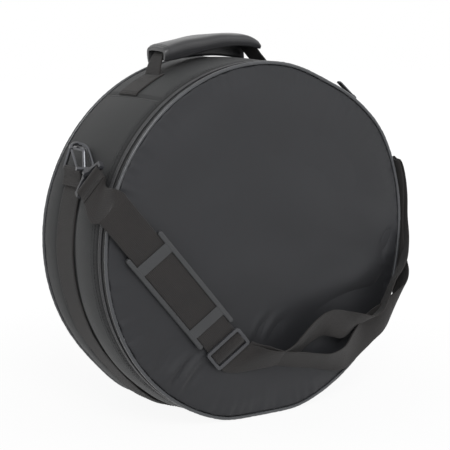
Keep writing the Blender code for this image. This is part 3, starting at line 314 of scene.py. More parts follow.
def finish_piece(name, points, faces, uvs, material, bodies, replaced=(), sharp=40.0):
    """A mesh object from points, faces and a UV place for each corner, on its body and with its slot."""
    mesh = bpy.data.meshes.new(name)
    mesh.from_pydata(points.tolist(), [], faces)
    layer = mesh.uv_layers.new(name="cloth_metres")
    layer.data.foreach_set("uv", np.asarray(uvs, np.float32).ravel())
    mesh.materials.append(MATERIALS[material])
    mesh.shade_smooth()
    mesh.set_sharp_from_angle(angle=math.radians(sharp))
    mesh.update()
    piece = add_object(name, mesh)
    if bodies:
        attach(piece, bodies)
    if replaced:
        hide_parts(*replaced)
    return piece


def tube_faces(count, sides, closed, copies=1):
    """Corner numbers and (row, column) numbers of the quads of tubes of count sections with so many sides."""
    rows = np.arange(count if closed else count - 1)
    a, b = np.meshgrid(rows, np.arange(sides), indexing="ij")
    a2, b2 = (a + 1) % count, (b + 1) % sides
    quads = np.stack([a * sides + b, a2 * sides + b, a2 * sides + b2, a * sides + b2], -1).reshape(-1, 4)
    cells = np.stack([np.stack([a, b], -1), np.stack([a + 1, b], -1), np.stack([a + 1, b + 1], -1),
                      np.stack([a, b + 1], -1)], -2).reshape(-1, 4, 2)
    offsets = np.arange(copies) * count * sides
    return (quads[None] + offsets[:, None, None]).reshape(-1, 4), np.tile(cells, (copies, 1, 1))


def carried(name, sections, material, bodies, replaced=(), closed=False, sharp=40.0):
    """A closed profile carried along a path: sections[i, j] is point j of section i. Its UV map holds the
    length along the path and the length round the profile, in metres."""
    count, sides = sections.shape[:2]
    points = sections.reshape(-1, 3)
    middles = sections.mean(axis=1)
    steps = np.linalg.norm(np.roll(middles, -1, axis=0) - middles, axis=1)
    along = np.concatenate([[0.0], np.cumsum(steps)])
    round_steps = np.linalg.norm(np.roll(sections, -1, axis=1) - sections, axis=2).mean(axis=0)
    around = np.concatenate([[0.0], np.cumsum(round_steps)])
    quads, cells = tube_faces(count, sides, closed)
    if volume_of(points, quads) < 0.0:
        quads, cells = quads[:, ::-1], cells[:, ::-1]
    faces = quads.tolist()
    uvs = np.stack([along[cells[..., 0]], around[cells[..., 1]]], -1).reshape(-1, 2)
    if not closed:
        first = list(range(sides))
        last = [(count - 1) * sides + j for j in range(sides)]
        forward = quads[0][0] < sides and quads[0][1] >= sides
        for cap in ((first, last[::-1]) if forward else (first[::-1], last)):
            faces.append(cap)
            spots = points[cap] - points[cap].mean(axis=0)
            uvs = np.concatenate([uvs, spots[:, :2] + spots[:, 2:]])
    return finish_piece(name, points, faces, uvs, material, bodies, replaced, sharp)


def smooth_rows(rows, steps):
    """Catmull-Rom curve through rows of numbers, with so many steps between two rows."""
    rows = np.asarray(rows, float)
    ends = np.concatenate([rows[:1] * 2 - rows[1:2], rows, rows[-1:] * 2 - rows[-2:-1]])
    before, one, two, after = ends[:-3, None], ends[1:-2, None], ends[2:-1, None], ends[3:, None]
    t = (np.arange(steps) / steps)[None, :, None]
    curve = (2 * one + (two - before) * t + (2 * before - 5 * one + 4 * two - after) * t ** 2
             + (3 * one - before - 3 * two + after) * t ** 3) / 2
    return np.concatenate([curve.reshape(-1, rows.shape[1]), rows[-1:]])


def strip_profile(width):
    """Outline of webbing, side by thickness: flat on both faces, with round edges."""
    fine = 14
    round_half = WEBBING_THICK * 0.42
    side = np.linspace(-1.0, 1.0, fine) * (width / 2 - round_half)
    turn = np.radians(np.linspace(90.0, -90.0, 6))[1:-1]
    right = np.stack([width / 2 - round_half + round_half * np.cos(turn),
                      WEBBING_THICK / 2 * np.sin(turn)], -1)
    top = np.stack([side, np.full(fine, WEBBING_THICK / 2)], -1)
    return np.concatenate([top, right, top[::-1] * [1.0, -1.0], right[::-1] * [-1.0, 1.0]])


def ribbon_frame(line, across):
    """Side and lift directions of webbing along a line, its width slanted no more than the solids' own."""
    ahead = unit(np.gradient(line, axis=0))
    across = unit(across)
    square = np.linalg.norm(across - ahead * np.sum(across * ahead, axis=1, keepdims=True), axis=1)
    side = across / np.maximum(square, 0.6)[:, None]
    return side, unit(np.cross(ahead, across))


def ribbon(name, line, across, bodies, replaced=(), width=WEBBING - GAP, gather=1.0):
    """Webbing along a line: its outline stands across the line, drawn in as gather says. It rides on no body
    when it has none."""
    side, lift = ribbon_frame(line, across)
    profile = strip_profile(width)
    sections = (line[:, None] + (side * np.reshape(gather, (-1, 1)))[:, None] * profile[None, :, :1]
                + lift[:, None] * profile[None, :, 1:])
    return carried(name, sections, "webbing", bodies, replaced)


def length_along(line):
    """Distance from the start of a line to each of its points."""
    return np.concatenate([[0.0], np.cumsum(np.linalg.norm(np.diff(line, axis=0), axis=1))])


def at_lengths(line, lengths):
    """Points of a line at these distances from its start."""
    table = length_along(line)
    return np.stack([np.interp(lengths, table, line[:, i]) for i in range(line.shape[1])], -1)


def stitches(name, runs, bodies, pitch=STITCH_PITCH, length=STITCH_LENGTH):
    """Thread along runs of (line, lift directions): each stitch is a thin lens that rises by the square root
    of (1 - t squared) in the middle of its length and dips into the cloth at both ends."""
    stations = np.array([-1.0, -0.8, -0.3, 0.3, 0.8, 1.0])
    swell = np.sqrt(1.0 - (stations * 0.97) ** 2)
    sides = 6
    angle = np.linspace(0.0, math.tau, sides, endpoint=False)
    parts = []
    for line, lift in runs:
        total = length_along(line)[-1]
        number = max(int(total / pitch), 1)
        spots = (np.arange(number) + 0.5) * total / number
        middle = at_lengths(line, spots)
        ahead = unit(at_lengths(line, spots + length / 4) - at_lengths(line, spots - length / 4))
        normal = unit(np.stack([np.interp(spots, length_along(line), lift[:, i]) for i in range(3)], -1))
        side = np.cross(ahead, normal)
        spine = (middle[:, None] + ahead[:, None] * (stations * length / 2)[None, :, None]
                 + normal[:, None] * ((swell - 0.75) * THREAD_RADIUS)[None, :, None])
        ring = (side[:, None] * np.cos(angle)[None, :, None] + normal[:, None] * np.sin(angle)[None, :, None])
        parts.append(spine[:, :, None] + ring[:, None] * (swell * THREAD_RADIUS)[None, :, None, None])
    stack = np.concatenate(parts)
    copies, count = stack.shape[:2]
    points = stack.reshape(-1, 3)
    quads, cells = tube_faces(count, sides, False, copies)
    turn = -1 if volume_of(points, quads) < 0.0 else 1
    quads, cells = quads[:, ::turn], cells[:, ::turn]
    first = np.arange(copies)[:, None] * count * sides + np.arange(sides)[None, ::-turn]
    last = np.arange(copies)[:, None] * count * sides + (count - 1) * sides + np.arange(sides)[None, ::turn]
    faces = quads.tolist() + first.tolist() + last.tolist()
    uvs = np.concatenate([(cells * THREAD_RADIUS).reshape(-1, 2).astype(float),
                          np.zeros((copies * sides * 2, 2))])
    return finish_piece(name, points, faces, uvs, "thread", bodies)


# The case's round

# How the stuffed case settles from a true circle, most at the lid: angle, half width, height
SETTLING = ((66.0, 12.0, -0.0036), (36.0, 11.0, 0.0026), (-3.0, 19.0, -0.0040))
# How the walls sag outward low on both sides, behind the lid: angle from the bottom, half width, how far
SAG_TURN, SAG_SPREAD, SAG_OUT = 26.0, 13.0, 0.0075
FLOOR_SOFTNESS = 0.0016   # height over which the cloth eases into the floor
# The gusset's bulges and dents, as heights and half widths
PILLOW_FRONT, PILLOW_BACK = 0.0022, 0.0016
PUCKER, PUCKER_REACH, SLOW_WAVE = 0.00030, 0.007, 0.00045
SEAM_DENT, BAND_DENT, DENT_HALF = 0.0014, 0.0012, 0.0022


def from_place(degrees, place):
    """Angle from a place on the round, between -180 and 180."""
    return (degrees - place + 180.0) % 360.0 - 180.0


def settled(y, degrees):
    """Sum of soft dents and bulges, each height times exp(-(angle / half width) squared), fading to the back,
    and the sag of the walls low on both sides, which grows from the zip to the back."""
    total = sum(height * np.exp(-(from_place(degrees, place) / wide) ** 2)
                for place, wide, height in SETTLING)
    low = np.abs(from_place(degrees, -90.0))
    sag = SAG_OUT * np.exp(-((low - SAG_TURN) / SAG_SPREAD) ** 2)
    sag = sag * np.clip((y + 0.047) / 0.060, 0.0, 1.0) ** 1.5
    return total * np.clip((0.030 - y) / 0.075, 0.0, 1.0) + sag


def round_place(radius, y, degrees):
    """Points on the settled round of these radii, pressed flat where the floor meets the bag: the height is
    low + s * ln(1 + exp((z - low) / s)), which eases into the floor."""
    radius, y, degrees = np.broadcast_arrays(radius, y, degrees)
    low = np.maximum(OUTER_RADIUS - radius, 0.0)
    angle = np.radians(degrees)
    radius = radius + settled(y, degrees)
    rise = (CENTRE_Z + radius * np.sin(angle) - low) / FLOOR_SOFTNESS
    z = low + FLOOR_SOFTNESS * np.logaddexp(0.0, rise)
    return np.stack([radius * np.cos(angle), y, z], -1)


def from_axis(points):
    """Each point's way straight out from the bag's axis."""
    return (points - [0.0, 0.0, CENTRE_Z]) * [1.0, 0.0, 1.0]


def hump(value, start, end):
    """A smooth hump, 0 at both ends and 1 in the middle."""
    t = np.clip((value - start) / (end - start), 0.0, 1.0)
    return 4.0 * t * (1.0 - t)


def soft_waves(seed, degrees, y, count, angle_step, height):
    """Waves over a surface on the round: a sum of sines with seeded numbers of turns, slants and phases."""
    rng = np.random.default_rng(seed)
    total = np.zeros(np.broadcast(degrees, y).shape)
    for _ in range(count):
        turns = rng.integers(3, angle_step)
        slant = rng.uniform(-22.0, 22.0)
        total += np.sin(np.radians(degrees) * turns + y * slant + rng.uniform(0.0, math.tau))
    return total * height / math.sqrt(count)


def gusset_lift(degrees, y):
    """How far the padded cloth stands out beyond its plain round: a pillow between the zip's tape and the
    band, another behind the band, slow waves and small puckers that fade away from the two long seams."""
    degrees, y = np.broadcast_arrays(np.asarray(degrees, float), np.asarray(y, float))
    off_top = np.abs(from_place(degrees, 90.0))
    under_band = np.clip((off_top - TAB_TURN + 1.0) / 6.0, 0.0, 1.0)
    under_band = under_band ** 2 * (3.0 - 2.0 * under_band)
    front = hump(y, TAPE_BACK_Y, BAND_Y - WEBBING / 2)
    back = hump(y, BAND_Y + WEBBING / 2, RIM_Y)
    whole = hump(y, TAPE_BACK_Y, RIM_Y)
    pillow = (under_band * (PILLOW_FRONT * front + PILLOW_BACK * back)
              + (1.0 - under_band) * PILLOW_FRONT * whole)
    open_share = 1.0 - under_band * ((y > BAND_Y - WEBBING / 2) & (y < BAND_Y + WEBBING / 2))
    edge = np.exp(-(y - TAPE_BACK_Y) / PUCKER_REACH) + np.exp(-(RIM_Y - y) / PUCKER_REACH)
    puckers = soft_waves(5, degrees, y * 3.0, 5, 90, PUCKER) * edge
    slow = soft_waves(8, degrees, y, 7, 17, SLOW_WAVE) * whole
    seam = np.zeros_like(y)
    for place in (90.0 + SEAM_TURN, 90.0 - SEAM_TURN):
        off = np.abs(degrees - place) * math.radians(WALL_OUT)
        seam -= SEAM_DENT * np.exp(-(off / DENT_HALF) ** 2)
    crease = (np.exp(-((y - BAND_Y + WEBBING / 2) / DENT_HALF) ** 2)
              + np.exp(-((y - BAND_Y - WEBBING / 2) / DENT_HALF) ** 2))
    floor = np.clip((off_top - 150.0) / 20.0, 0.0, 1.0)
    return ((pillow + slow * open_share + puckers) * (1.0 - floor * 0.8) + seam * whole ** 0.25
            - BAND_DENT * crease * under_band)


def no_lift(degrees, y):
    """No bulge, for plain cloth."""
    return 0.0 * y


def strip_sections(degrees, y_front, y_back, lift, fine=30):
    """Closed sections of a cloth strip on the round: the outer face follows lift, with turned edges."""
    outer_y, angles = np.meshgrid(np.linspace(y_front, y_back, fine), degrees)
    edge = np.minimum((outer_y - y_front), (y_back - outer_y)) / 0.0008
    fall = (1.0 - np.clip(edge, 0.0, 1.0)) ** 2 * CLOTH * 0.45
    outer = round_place(WALL_OUT + lift(angles, outer_y) - fall, outer_y, angles)
    inner_y, inner_angles = np.meshgrid(np.linspace(y_back, y_front, 6), degrees)
    inner = round_place(WALL_OUT - CLOTH + 0.0 * inner_y, inner_y, inner_angles)
    return np.concatenate([outer, inner], axis=1)


def gusset_run(degrees, y):
    """A stitch run that follows the gusset's bulges, with its outward directions."""
    line = round_place(WALL_OUT + gusset_lift(degrees, y), y, degrees)
    return line, from_axis(line)


def round_run(start, end, y, radius, count):
    """A stitch run on the round, with its outward directions."""
    line = round_place(radius, y, np.linspace(start, end, count))
    return line, from_axis(line)


def build_gusset():
    """Side wall and top panel, with a row of stitches beside each long seam."""
    slack = math.degrees(GAP / 2 / WALL_OUT)
    front = TAPE_BACK_Y + GAP / 2
    for node, start, end, count in (("side_wall", 90.0 + SEAM_TURN, 450.0 - SEAM_TURN, 420),
                                    ("top_panel", 90.0 - SEAM_TURN, 90.0 + SEAM_TURN, 150)):
        sections = strip_sections(np.linspace(start + slack, end - slack, count), front, RIM_Y, gusset_lift)
        carried(node + "_cloth", sections, "gusset", "case", [node])
    runs = [gusset_run(np.linspace(-90.0, 270.0, 900), np.full(900, y))
            for y in (front + 0.0022, front + 0.0062, RIM_Y - 0.0025)]
    for place in (90.0 + SEAM_TURN, 90.0 - SEAM_TURN):
        for off in (-1.05, 1.05):
            runs.append(gusset_run(np.full(60, place + off), np.linspace(front + 0.003, RIM_Y - 0.003, 60)))
    stitches("gusset_seam_thread", runs, "case")


def build_piping(name, node, y, body, seed):
    """Corded edge: a round section that swells and turns a little as it runs round the bag."""
    count = 720
    degrees = np.linspace(0.0, 360.0, count, endpoint=False)
    angle = np.linspace(0.0, math.tau, 20, endpoint=False)
    turns, around = np.meshgrid(degrees, angle, indexing="ij")
    ripple = soft_waves(seed, turns, np.zeros_like(turns), 6, 150, 0.00008)
    radius = PIPING_SEEN + ripple + 0.00006 * np.sin(np.radians(turns) * 540.0 + around * 2.0)
    sections = round_place(BAG_RADIUS + radius * np.cos(around), y + radius * np.sin(around), turns)
    return carried(name, sections, "piping", body, [node], closed=True)


# Folds of the lid's cloth: x, z of the middle, direction in degrees, half length, half width, height
LID_FOLDS = [
    (-0.1215, 0.064, 52.0, 0.03, 0.005, 0.0042), (-0.112, 0.061, 54.0, 0.026, 0.0042, -0.0036),
    (-0.102, 0.064, 52.0, 0.028, 0.005, 0.0042), (-0.094, 0.056, 50.0, 0.026, 0.005, -0.0028),
    (-0.133, 0.08, 58.0, 0.026, 0.005, -0.0024), (-0.017, 0.106, 62.0, 0.016, 0.0042, 0.0014),
    (-0.008, 0.102, 60.0, 0.016, 0.0042, -0.0012), (0.002, 0.104, 58.0, 0.016, 0.0044, 0.0013),
    (0.014, 0.1, 55.0, 0.016, 0.0048, -0.001), (0.119, 0.116, 8.0, 0.046, 0.015, -0.006),
    (0.1, 0.143, 6.0, 0.052, 0.015, 0.0034), (0.132, 0.152, 20.0, 0.026, 0.011, 0.0016),
    (0.1624, 0.1226, 80.0, 0.022, 0.007, -0.0042), (0.175, 0.191, 35.0, 0.014, 0.005, -0.0026),
    (0.168, 0.176, 60.0, 0.018, 0.006, -0.002), (0.141, 0.214, 160.0, 0.036, 0.015, 0.0018),
    (0.12, 0.18, 170.0, 0.05, 0.013, -0.0014), (0.0, 0.17, 5.0, 0.08, 0.02, 0.001),
    (-0.06, 0.24, 160.0, 0.07, 0.022, 0.0008), (-0.03, 0.02, 4.0, 0.05, 0.008, 0.0012),
    (0.08, 0.03, 170.0, 0.05, 0.008, 0.001),
]


def folds_at(x, z, folds):
    """Sum of soft ridges: each is height times exp(-(across / width) squared - (along / length) squared)."""
    total = np.zeros_like(x)
    for fx, fz, degrees, long_half, wide_half, height in folds:
        c, s = math.cos(math.radians(degrees)), math.sin(math.radians(degrees))
        along = (x - fx) * c + (z - fz) * s
        across = -(x - fx) * s + (z - fz) * c + 0.12 * along ** 2 / long_half
        total += height * np.exp(-(across / wide_half) ** 2 - (along / long_half) ** 2)
    return total


def panel_lift(x, z, share, seed, folds):
    """How far a panel's cloth bulges at this share of its edge: its crown, seeded slow waves, puckers at the
    edge, and its folds."""
    crown = CROWN * (1.0 - share ** CROWN_POWER)
    angle = np.arctan2(z - CENTRE_Z, x)
    rng = np.random.default_rng(seed)
    waves = np.zeros_like(x)
    for _ in range(9):
        direction = rng.uniform(0.0, math.tau)
        pitch = rng.uniform(0.07, 0.19)
        waves += np.sin((x * math.cos(direction) + z * math.sin(direction)) * math.tau / pitch
                        + rng.uniform(0.0, math.tau))
    puckers = np.zeros_like(x)
    for _ in range(7):
        puckers += np.sin(angle * rng.integers(28, 110) + rng.uniform(0.0, math.tau)
                          + share * rng.uniform(-2.0, 2.0))
    edge = np.exp(-(1.0 - share) / 0.055) * np.clip((1.0 - share) / 0.012, 0.0, 1.0)
    fade = np.clip((1.0 - share) / 0.10, 0.0, 1.0)
    return crown + waves * 0.00040 * fade + puckers * 0.00042 * edge + folds_at(x, z, folds) * fade


def panel_rings(radius, side, shares):
    """Rings of a round panel in its own plane, each at its share of the way from the axis to the edge."""
    edge = round_place(radius, side * HALF_DEPTH, np.linspace(0.0, 360.0, 360, endpoint=False))
    return from_axis(edge)[None] * shares[:, None, None] + [0.0, 0.0, CENTRE_Z]


def build_panel(name, node, side, body, seed, folds):
    """Round panel of cloth: an outer skin of rings from the middle to the edge, and a plain inner skin."""
    shares = np.concatenate([np.linspace(0.012, 0.86, 58), np.linspace(0.87, 1.0, 26)])
    rings = panel_rings(PANEL_EDGE, side, shares)
    lift = panel_lift(rings[..., 0], rings[..., 2], shares[:, None], seed, folds)
    roll = np.clip((shares - 0.985) / 0.015, 0.0, 1.0)[:, None] ** 2 * CLOTH * 0.5
    out = np.array([0.0, side, 0.0])
    outer = rings + (HALF_DEPTH + CLOTH / 2 + lift - roll)[..., None] * out
    inner_shares = np.array([1.0, 0.9, 0.7, 0.4, 0.012])
    depth = HALF_DEPTH - CLOTH / 2 + CROWN * (1.0 - inner_shares ** CROWN_POWER)
    inner = panel_rings(PANEL_EDGE, side, inner_shares) + depth[:, None, None] * out
    piece = carried(name, np.concatenate([outer, inner]), "cloth", body, [node], sharp=60.0)
    face_uv(piece)
    return piece


def face_uv(piece):
    """UV map of a panel from its own X and Z, so that its threads run straight across it."""
    mesh = piece.data
    corners = np.zeros(len(mesh.loops), np.int64)
    mesh.loops.foreach_get("vertex_index", corners)
    points = np.zeros(len(mesh.vertices) * 3)
    mesh.vertices.foreach_get("co", points)
    places = points.reshape(-1, 3)[corners][:, [0, 2]]
    mesh.uv_layers[0].data.foreach_set("uv", places.astype(np.float32).ravel())


def build_zip():
    """Both halves of the zip: a tape and its coil, whose turns reach past the middle between the other's."""
    start, end = -90.0 + ZIP_END_TURN, 270.0 - ZIP_END_TURN
    turns = int(math.radians(end - start) * WALL_OUT / TOOTH_PITCH)
    degrees = np.linspace(start, end, turns * 8)[:, None]
    phase = np.linspace(0.0, math.tau * turns, turns * 8)
    ring = np.linspace(0.0, math.tau, 12, endpoint=False)[None]
    half_wide, half_tall = 0.00125, 0.00085
    for label, body, sign in (("body", "case", 1.0), ("lid", "lid", -1.0)):
        sewn_y = TAPE_BACK_Y - GAP / 2 if sign > 0 else -HALF_DEPTH + PIPING_RADIUS + GAP
        tape_y = np.linspace(ZIP_Y + sign * 0.0016, sewn_y, 10)
        angles, y = np.meshgrid(np.linspace(start, end, 420), tape_y, indexing="ij")
        wave = soft_waves(21 + int(sign), angles, y, 6, 120, 0.00010)
        fold = 0.0011 * np.clip((np.abs(y - ZIP_Y) - 0.0052) / 0.0010, 0.0, 1.0)
        outer = round_place(WALL_OUT - 0.0004 + fold + wave, y, angles)
        inner = round_place(WALL_IN + 0.0 * y, y, angles)[:, ::-1]
        carried(f"zip_{label}_tape", np.concatenate([outer, inner], axis=1), "tape", body,
                [f"zip_{label}_half"])
        turning = np.cos(phase + (0.0 if sign > 0 else math.pi))[:, None]
        swell = 1.0 + 0.16 * turning
        y = ZIP_Y + sign * 0.00155 - sign * (0.00045 * turning) * 0.5 + half_wide * swell * np.cos(ring)
        radius = WALL_OUT + 0.00045 + half_tall * swell * np.sin(ring)
        carried(f"zip_{label}_coil", round_place(radius, y, degrees), "coil", body, sharp=180.0)
    runs = [round_run(start, end, ZIP_Y + off, WALL_OUT + 0.0007, 800) for off in (0.0083, 0.0104)]
    stitches("zip_tape_thread", runs, "case")


def build_strips():
    """Hinge strip and lid rim between the zip's two ends, over the floor."""
    slack = math.degrees(GAP / WALL_OUT)
    angles = np.linspace(270.0 - ZIP_END_TURN + slack, 270.0 + ZIP_END_TURN - slack, 120)
    for node, front, back in (("hinge_strip", ZIP_Y + GAP / 2, TAPE_BACK_Y - GAP / 2),
                              ("lid_rim", -HALF_DEPTH + PIPING_RADIUS + GAP, ZIP_Y - GAP / 2)):
        carried(node + "_cloth", strip_sections(angles, front, back, no_lift, fine=8), "gusset", "case",
                [node])


def build_inside():
    """Foam and lining of the wall, the lid and the back, with soft quilting waves on the lining."""
    angles = np.linspace(0.0, 360.0, 360, endpoint=False)
    front = ZIP_Y + 0.0105 / 2 + GAP * 2
    for node, low, high, material, slot, wave in (
            ("wall_foam", FOAM_IN, WALL_IN - GAP, "foam", "foam", 0.0),
            ("wall_lining", FOAM_IN - GAP - LINING, FOAM_IN - GAP, "lining", "lining", 0.0002)):
        y = np.linspace(front, RIM_Y, 26)
        grid, across = np.meshgrid(angles, y, indexing="ij")
        ease = 0.0018 * np.exp(-(across - front) / 0.0012) * (high - low) / 0.007
        outer = round_place(high - ease, across, grid)
        inner = round_place(low + ease + soft_waves(31, grid, across, 6, 26, wave), across, grid)[:, ::-1]
        piece = carried(node + "_layer", np.concatenate([outer, inner], axis=1), material, "case",
                        [node], closed=True)
    for prefix, side, body, edge in (("back", 1.0, "case", FOAM_IN - GAP * 2 - LINING),
                                     ("lid", -1.0, "lid", PANEL_EDGE - LINING)):
        cloth_in = HALF_DEPTH - CLOTH / 2
        foam_out, foam_in = cloth_in - GAP, cloth_in - GAP - PANEL_FOAM
        base = CROWN * (1.0 - min(edge / PANEL_EDGE, 1.0) ** CROWN_POWER)
        shares = np.concatenate([np.linspace(0.015, 0.94, 30), np.linspace(0.95, 1.0, 8)])
        rings = panel_rings(edge, side, shares)
        for kind, out_at, in_at, material in (
                ("foam", foam_out + CROWN * (1.0 - (shares * edge / PANEL_EDGE) ** CROWN_POWER) - base,
                 foam_in + 0 * shares, "foam"),
                ("lining", foam_in - GAP + 0 * shares, foam_in - GAP - LINING + 0 * shares, "lining")):
            ease = 0.0012 * np.clip((shares - 0.97) / 0.03, 0.0, 1.0) ** 2 * (1.0 if kind == "foam" else 0.3)
            waves = soft_waves(41, np.degrees(np.arctan2(rings[..., 2] - CENTRE_Z, rings[..., 0])),
                               rings[..., 0] * 2.0, 6, 9, 0.00025 if kind == "lining" else 0.0)
            up = np.array([0.0, side, 0.0])
            outer = rings + (out_at - ease)[:, None, None] * up
            inner = rings + ((in_at + ease)[:, None] + waves)[..., None] * up
            sections = np.concatenate([outer, inner[::-1]])
            piece = carried(f"{prefix}_{kind}_layer", sections, material, body, [f"{prefix}_{kind}"])
            face_uv(piece)


# Webbing on the case

def round_ribbon(name, degrees, y, lift_at, replaced):
    """Webbing laid on the round at these angles, lifted as lift_at(angles, places across) says."""
    profile = strip_profile(WEBBING - GAP)
    angles, across = np.meshgrid(degrees, profile[:, 0], indexing="ij")
    radius = WALL_OUT + GAP / 2 + WEBBING_THICK / 2 + profile[None, :, 1] + lift_at(angles, across)
    carried(name, round_place(radius, y + across, angles), "webbing", "case", replaced)


def band_lift(angles, across):
    """Slow waves along the band's two edges, which grow with the cube of the place across."""
    return np.abs(across / ((WEBBING - GAP) / 2)) ** 3 * soft_waves(51, angles, across, 5, 60, 0.0002)


def tail_lift(angles, across):
    """The handle's tails lie on the gusset's bulges and bridge its dents."""
    return np.maximum(gusset_lift(angles, HANDLE_Y + across), 0.0)


def build_band():
    """Band round the gusset, the rolled tabs at its ends, and their stitches."""
    start, end = 90.0 + TAB_TURN, 450.0 - TAB_TURN
    round_ribbon("webbing_band_strip", np.linspace(start, end, int((end - start) * 1.4)), BAND_Y, band_lift,
                 ["webbing_band"])
    half = WEBBING / 2 - EDGE_INSET
    runs = [round_run(start + 1.0, end - 1.0, BAND_Y + sign * half, BAND_OUT, 900) for sign in (-1.0, 1.0)]
    across = np.array([0.0, 1.0, 0.0])
    tab_runs = []
    for side, label in ((-1.0, "left"), (1.0, "right")):
        bar, tail, outward = (np.array(v) * [side, 1.0, 1.0] for v in (RING_BAR, TAB_TAIL, TAB_OUTWARD))
        line = rolled_line(bar, tail, outward, RING_WIRE, TAB_REACH)
        ribbon(f"ring_tab_{label}", line, across, "case", [f"tab_{label}"])
        tab_runs += box_runs(bar + tail * (RING_WIRE + 0.0042), tail, across, outward, TAB_REACH - 0.0085,
                             crossed=False)
    stitches("band_edge_thread", runs, "case")
    stitches("tab_thread", tab_runs, "case", pitch=BOX_PITCH, length=BOX_LENGTH)


def rolled_line(bar, tail, outward, bar_radius, reach):
    """Line of webbing folded round a bar: out along one layer, round the bar and back along the other."""
    layer = WEBBING_THICK / 2 + 0.00004
    radius = bar_radius + GAP + WEBBING_THICK / 2
    open_turn = math.degrees(math.asin(min(layer / radius, 1.0))) + 22.0
    turns = np.radians(np.linspace(open_turn, 360.0 - open_turn, 15))
    flat = [(reach, layer), (reach * 0.72, layer), (radius * 1.75, layer * 1.06)]
    loop = np.stack([radius * np.cos(turns), radius * np.sin(turns)], -1)
    path = np.concatenate([flat, loop, [(u, -v) for u, v in reversed(flat)]])
    path = smooth_rows(path, 4)
    return bar + tail * path[:, :1] + outward * path[:, 1:]


def box_runs(start, ahead, across, lift, length, crossed=True):
    """Runs of a box of this length sewn on folded webbing, with its cross if it has one."""
    base = start + lift * (WEBBING_THICK + 0.0001)
    half = across * (WEBBING - BOX_MARGIN) / 2
    far = ahead * length
    corners = [base - half, base + half, base + half + far, base - half + far]
    pairs = [(0, 1), (1, 2), (2, 3), (3, 0)] + ([(0, 2), (1, 3)] if crossed else [])
    share = np.linspace(0.0, 1.0, 12)[:, None]
    return [(corners[a] * (1 - share) + corners[b] * share, np.broadcast_to(lift, (12, 3))) for a, b in pairs]


# Handle

def build_handle():
    """Tails sewn down on the top panel, the loop between them and the padded wrap on the loop."""
    foot = math.degrees(math.asin(FOOT_SPAN / 2 / WALL_OUT))
    tail = math.degrees(TAIL_REACH / WALL_OUT)
    half = WEBBING / 2 - EDGE_INSET
    shares = np.linspace(0.0, 1.0, 40)
    runs = []
    for label, sign in (("left", 1.0), ("right", -1.0)):
        middle = 90.0 + HANDLE_TURN + sign * foot
        inner, outer = middle - sign * math.degrees(WEBBING_THICK / WALL_OUT), middle + sign * tail
        round_ribbon(f"handle_tail_{label}_strip", np.linspace(inner, outer, 60), HANDLE_Y, tail_lift,
                     [f"handle_tail_{label}"])
        for first, last, y1, y2 in ((0.07, 0.93, -half, -half), (0.07, 0.93, half, half),
                                    (0.10, 0.10, -half, half), (0.90, 0.90, -half, half),
                                    (0.10, 0.45, -half, half), (0.10, 0.45, half, -half),
                                    (0.45, 0.45, -half, half)):
            turn = inner + (outer - inner) * (first + (last - first) * shares)
            y = HANDLE_Y + y1 + (y2 - y1) * shares
            under = np.maximum(gusset_lift(turn, y), 0.0)
            line = round_place(WALL_OUT + GAP / 2 + WEBBING_THICK + under, y, turn)
            runs.append((line, from_axis(line)))
    stitches("handle_tail_thread", runs, "case", pitch=BOX_PITCH, length=BOX_LENGTH)

    foot_place, along, up = (np.array(v) for v in (HANDLE_FOOT, HANDLE_ALONG, HANDLE_UP))
    path = smooth_rows(LOOP_LINE, 8)
    line = foot_place + along * path[:, :1] + up * path[:, 1:]
    gather = 1.0 - 0.36 * np.exp(-((path[:, 0] + 0.064) / 0.008) ** 2)
    loop = ribbon("handle_loop_strap", line, (0.0, 1.0, 0.0), None, width=0.032, gather=gather)
    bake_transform(loop)
    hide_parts("handle_loop")
    build_grip(foot_place, along, up)


# The handle's loop: distance from its middle, height over its feet
LOOP_LINE = [
    (-0.0745, 0.003), (-0.0724, 0.0105), (-0.069, 0.0185), (-0.0645, 0.025), (-0.056, 0.0298),
    (-0.04, 0.0328), (-0.02, 0.0346), (0.0, 0.0355), (0.02, 0.035), (0.038, 0.033), (0.048, 0.0285),
    (0.054, 0.0222), (0.059, 0.0158), (0.0645, 0.0095), (0.07, 0.003),
]
# Wrap round the loop: distance from the loop's middle, height of the front flap's edge and of the back one's
GRIP_ROWS = [
    (-0.069, 0.0178, 0.015), (-0.056, 0.0188, 0.0155), (-0.0413, 0.0205, 0.0163), (-0.0124, 0.0252, 0.0172),
    (0.0169, 0.0275, 0.0164), (0.0398, 0.026, 0.0132), (0.0575, 0.0215, 0.0098),
]
GRIP_TOP, GRIP_ARCH, GRIP_PEAK = 0.0418, 1.55, 0.0035
# Outline of the wrap from the front edge over the top to the back edge: place across, share of the height
GRIP_ACROSS = (-0.0186, -0.0203, -0.0198, -0.0168, -0.0102, 0.0, 0.0102, 0.0168, 0.0198, 0.0205, 0.0192)
GRIP_SHARES = (0.0, 0.40, 0.71, 0.905, 0.98, 1.0, 0.98, 0.905, 0.74, 0.42, 0.0)
GRIP_THICK, GRIP_HEM = 0.0042, 0.0022


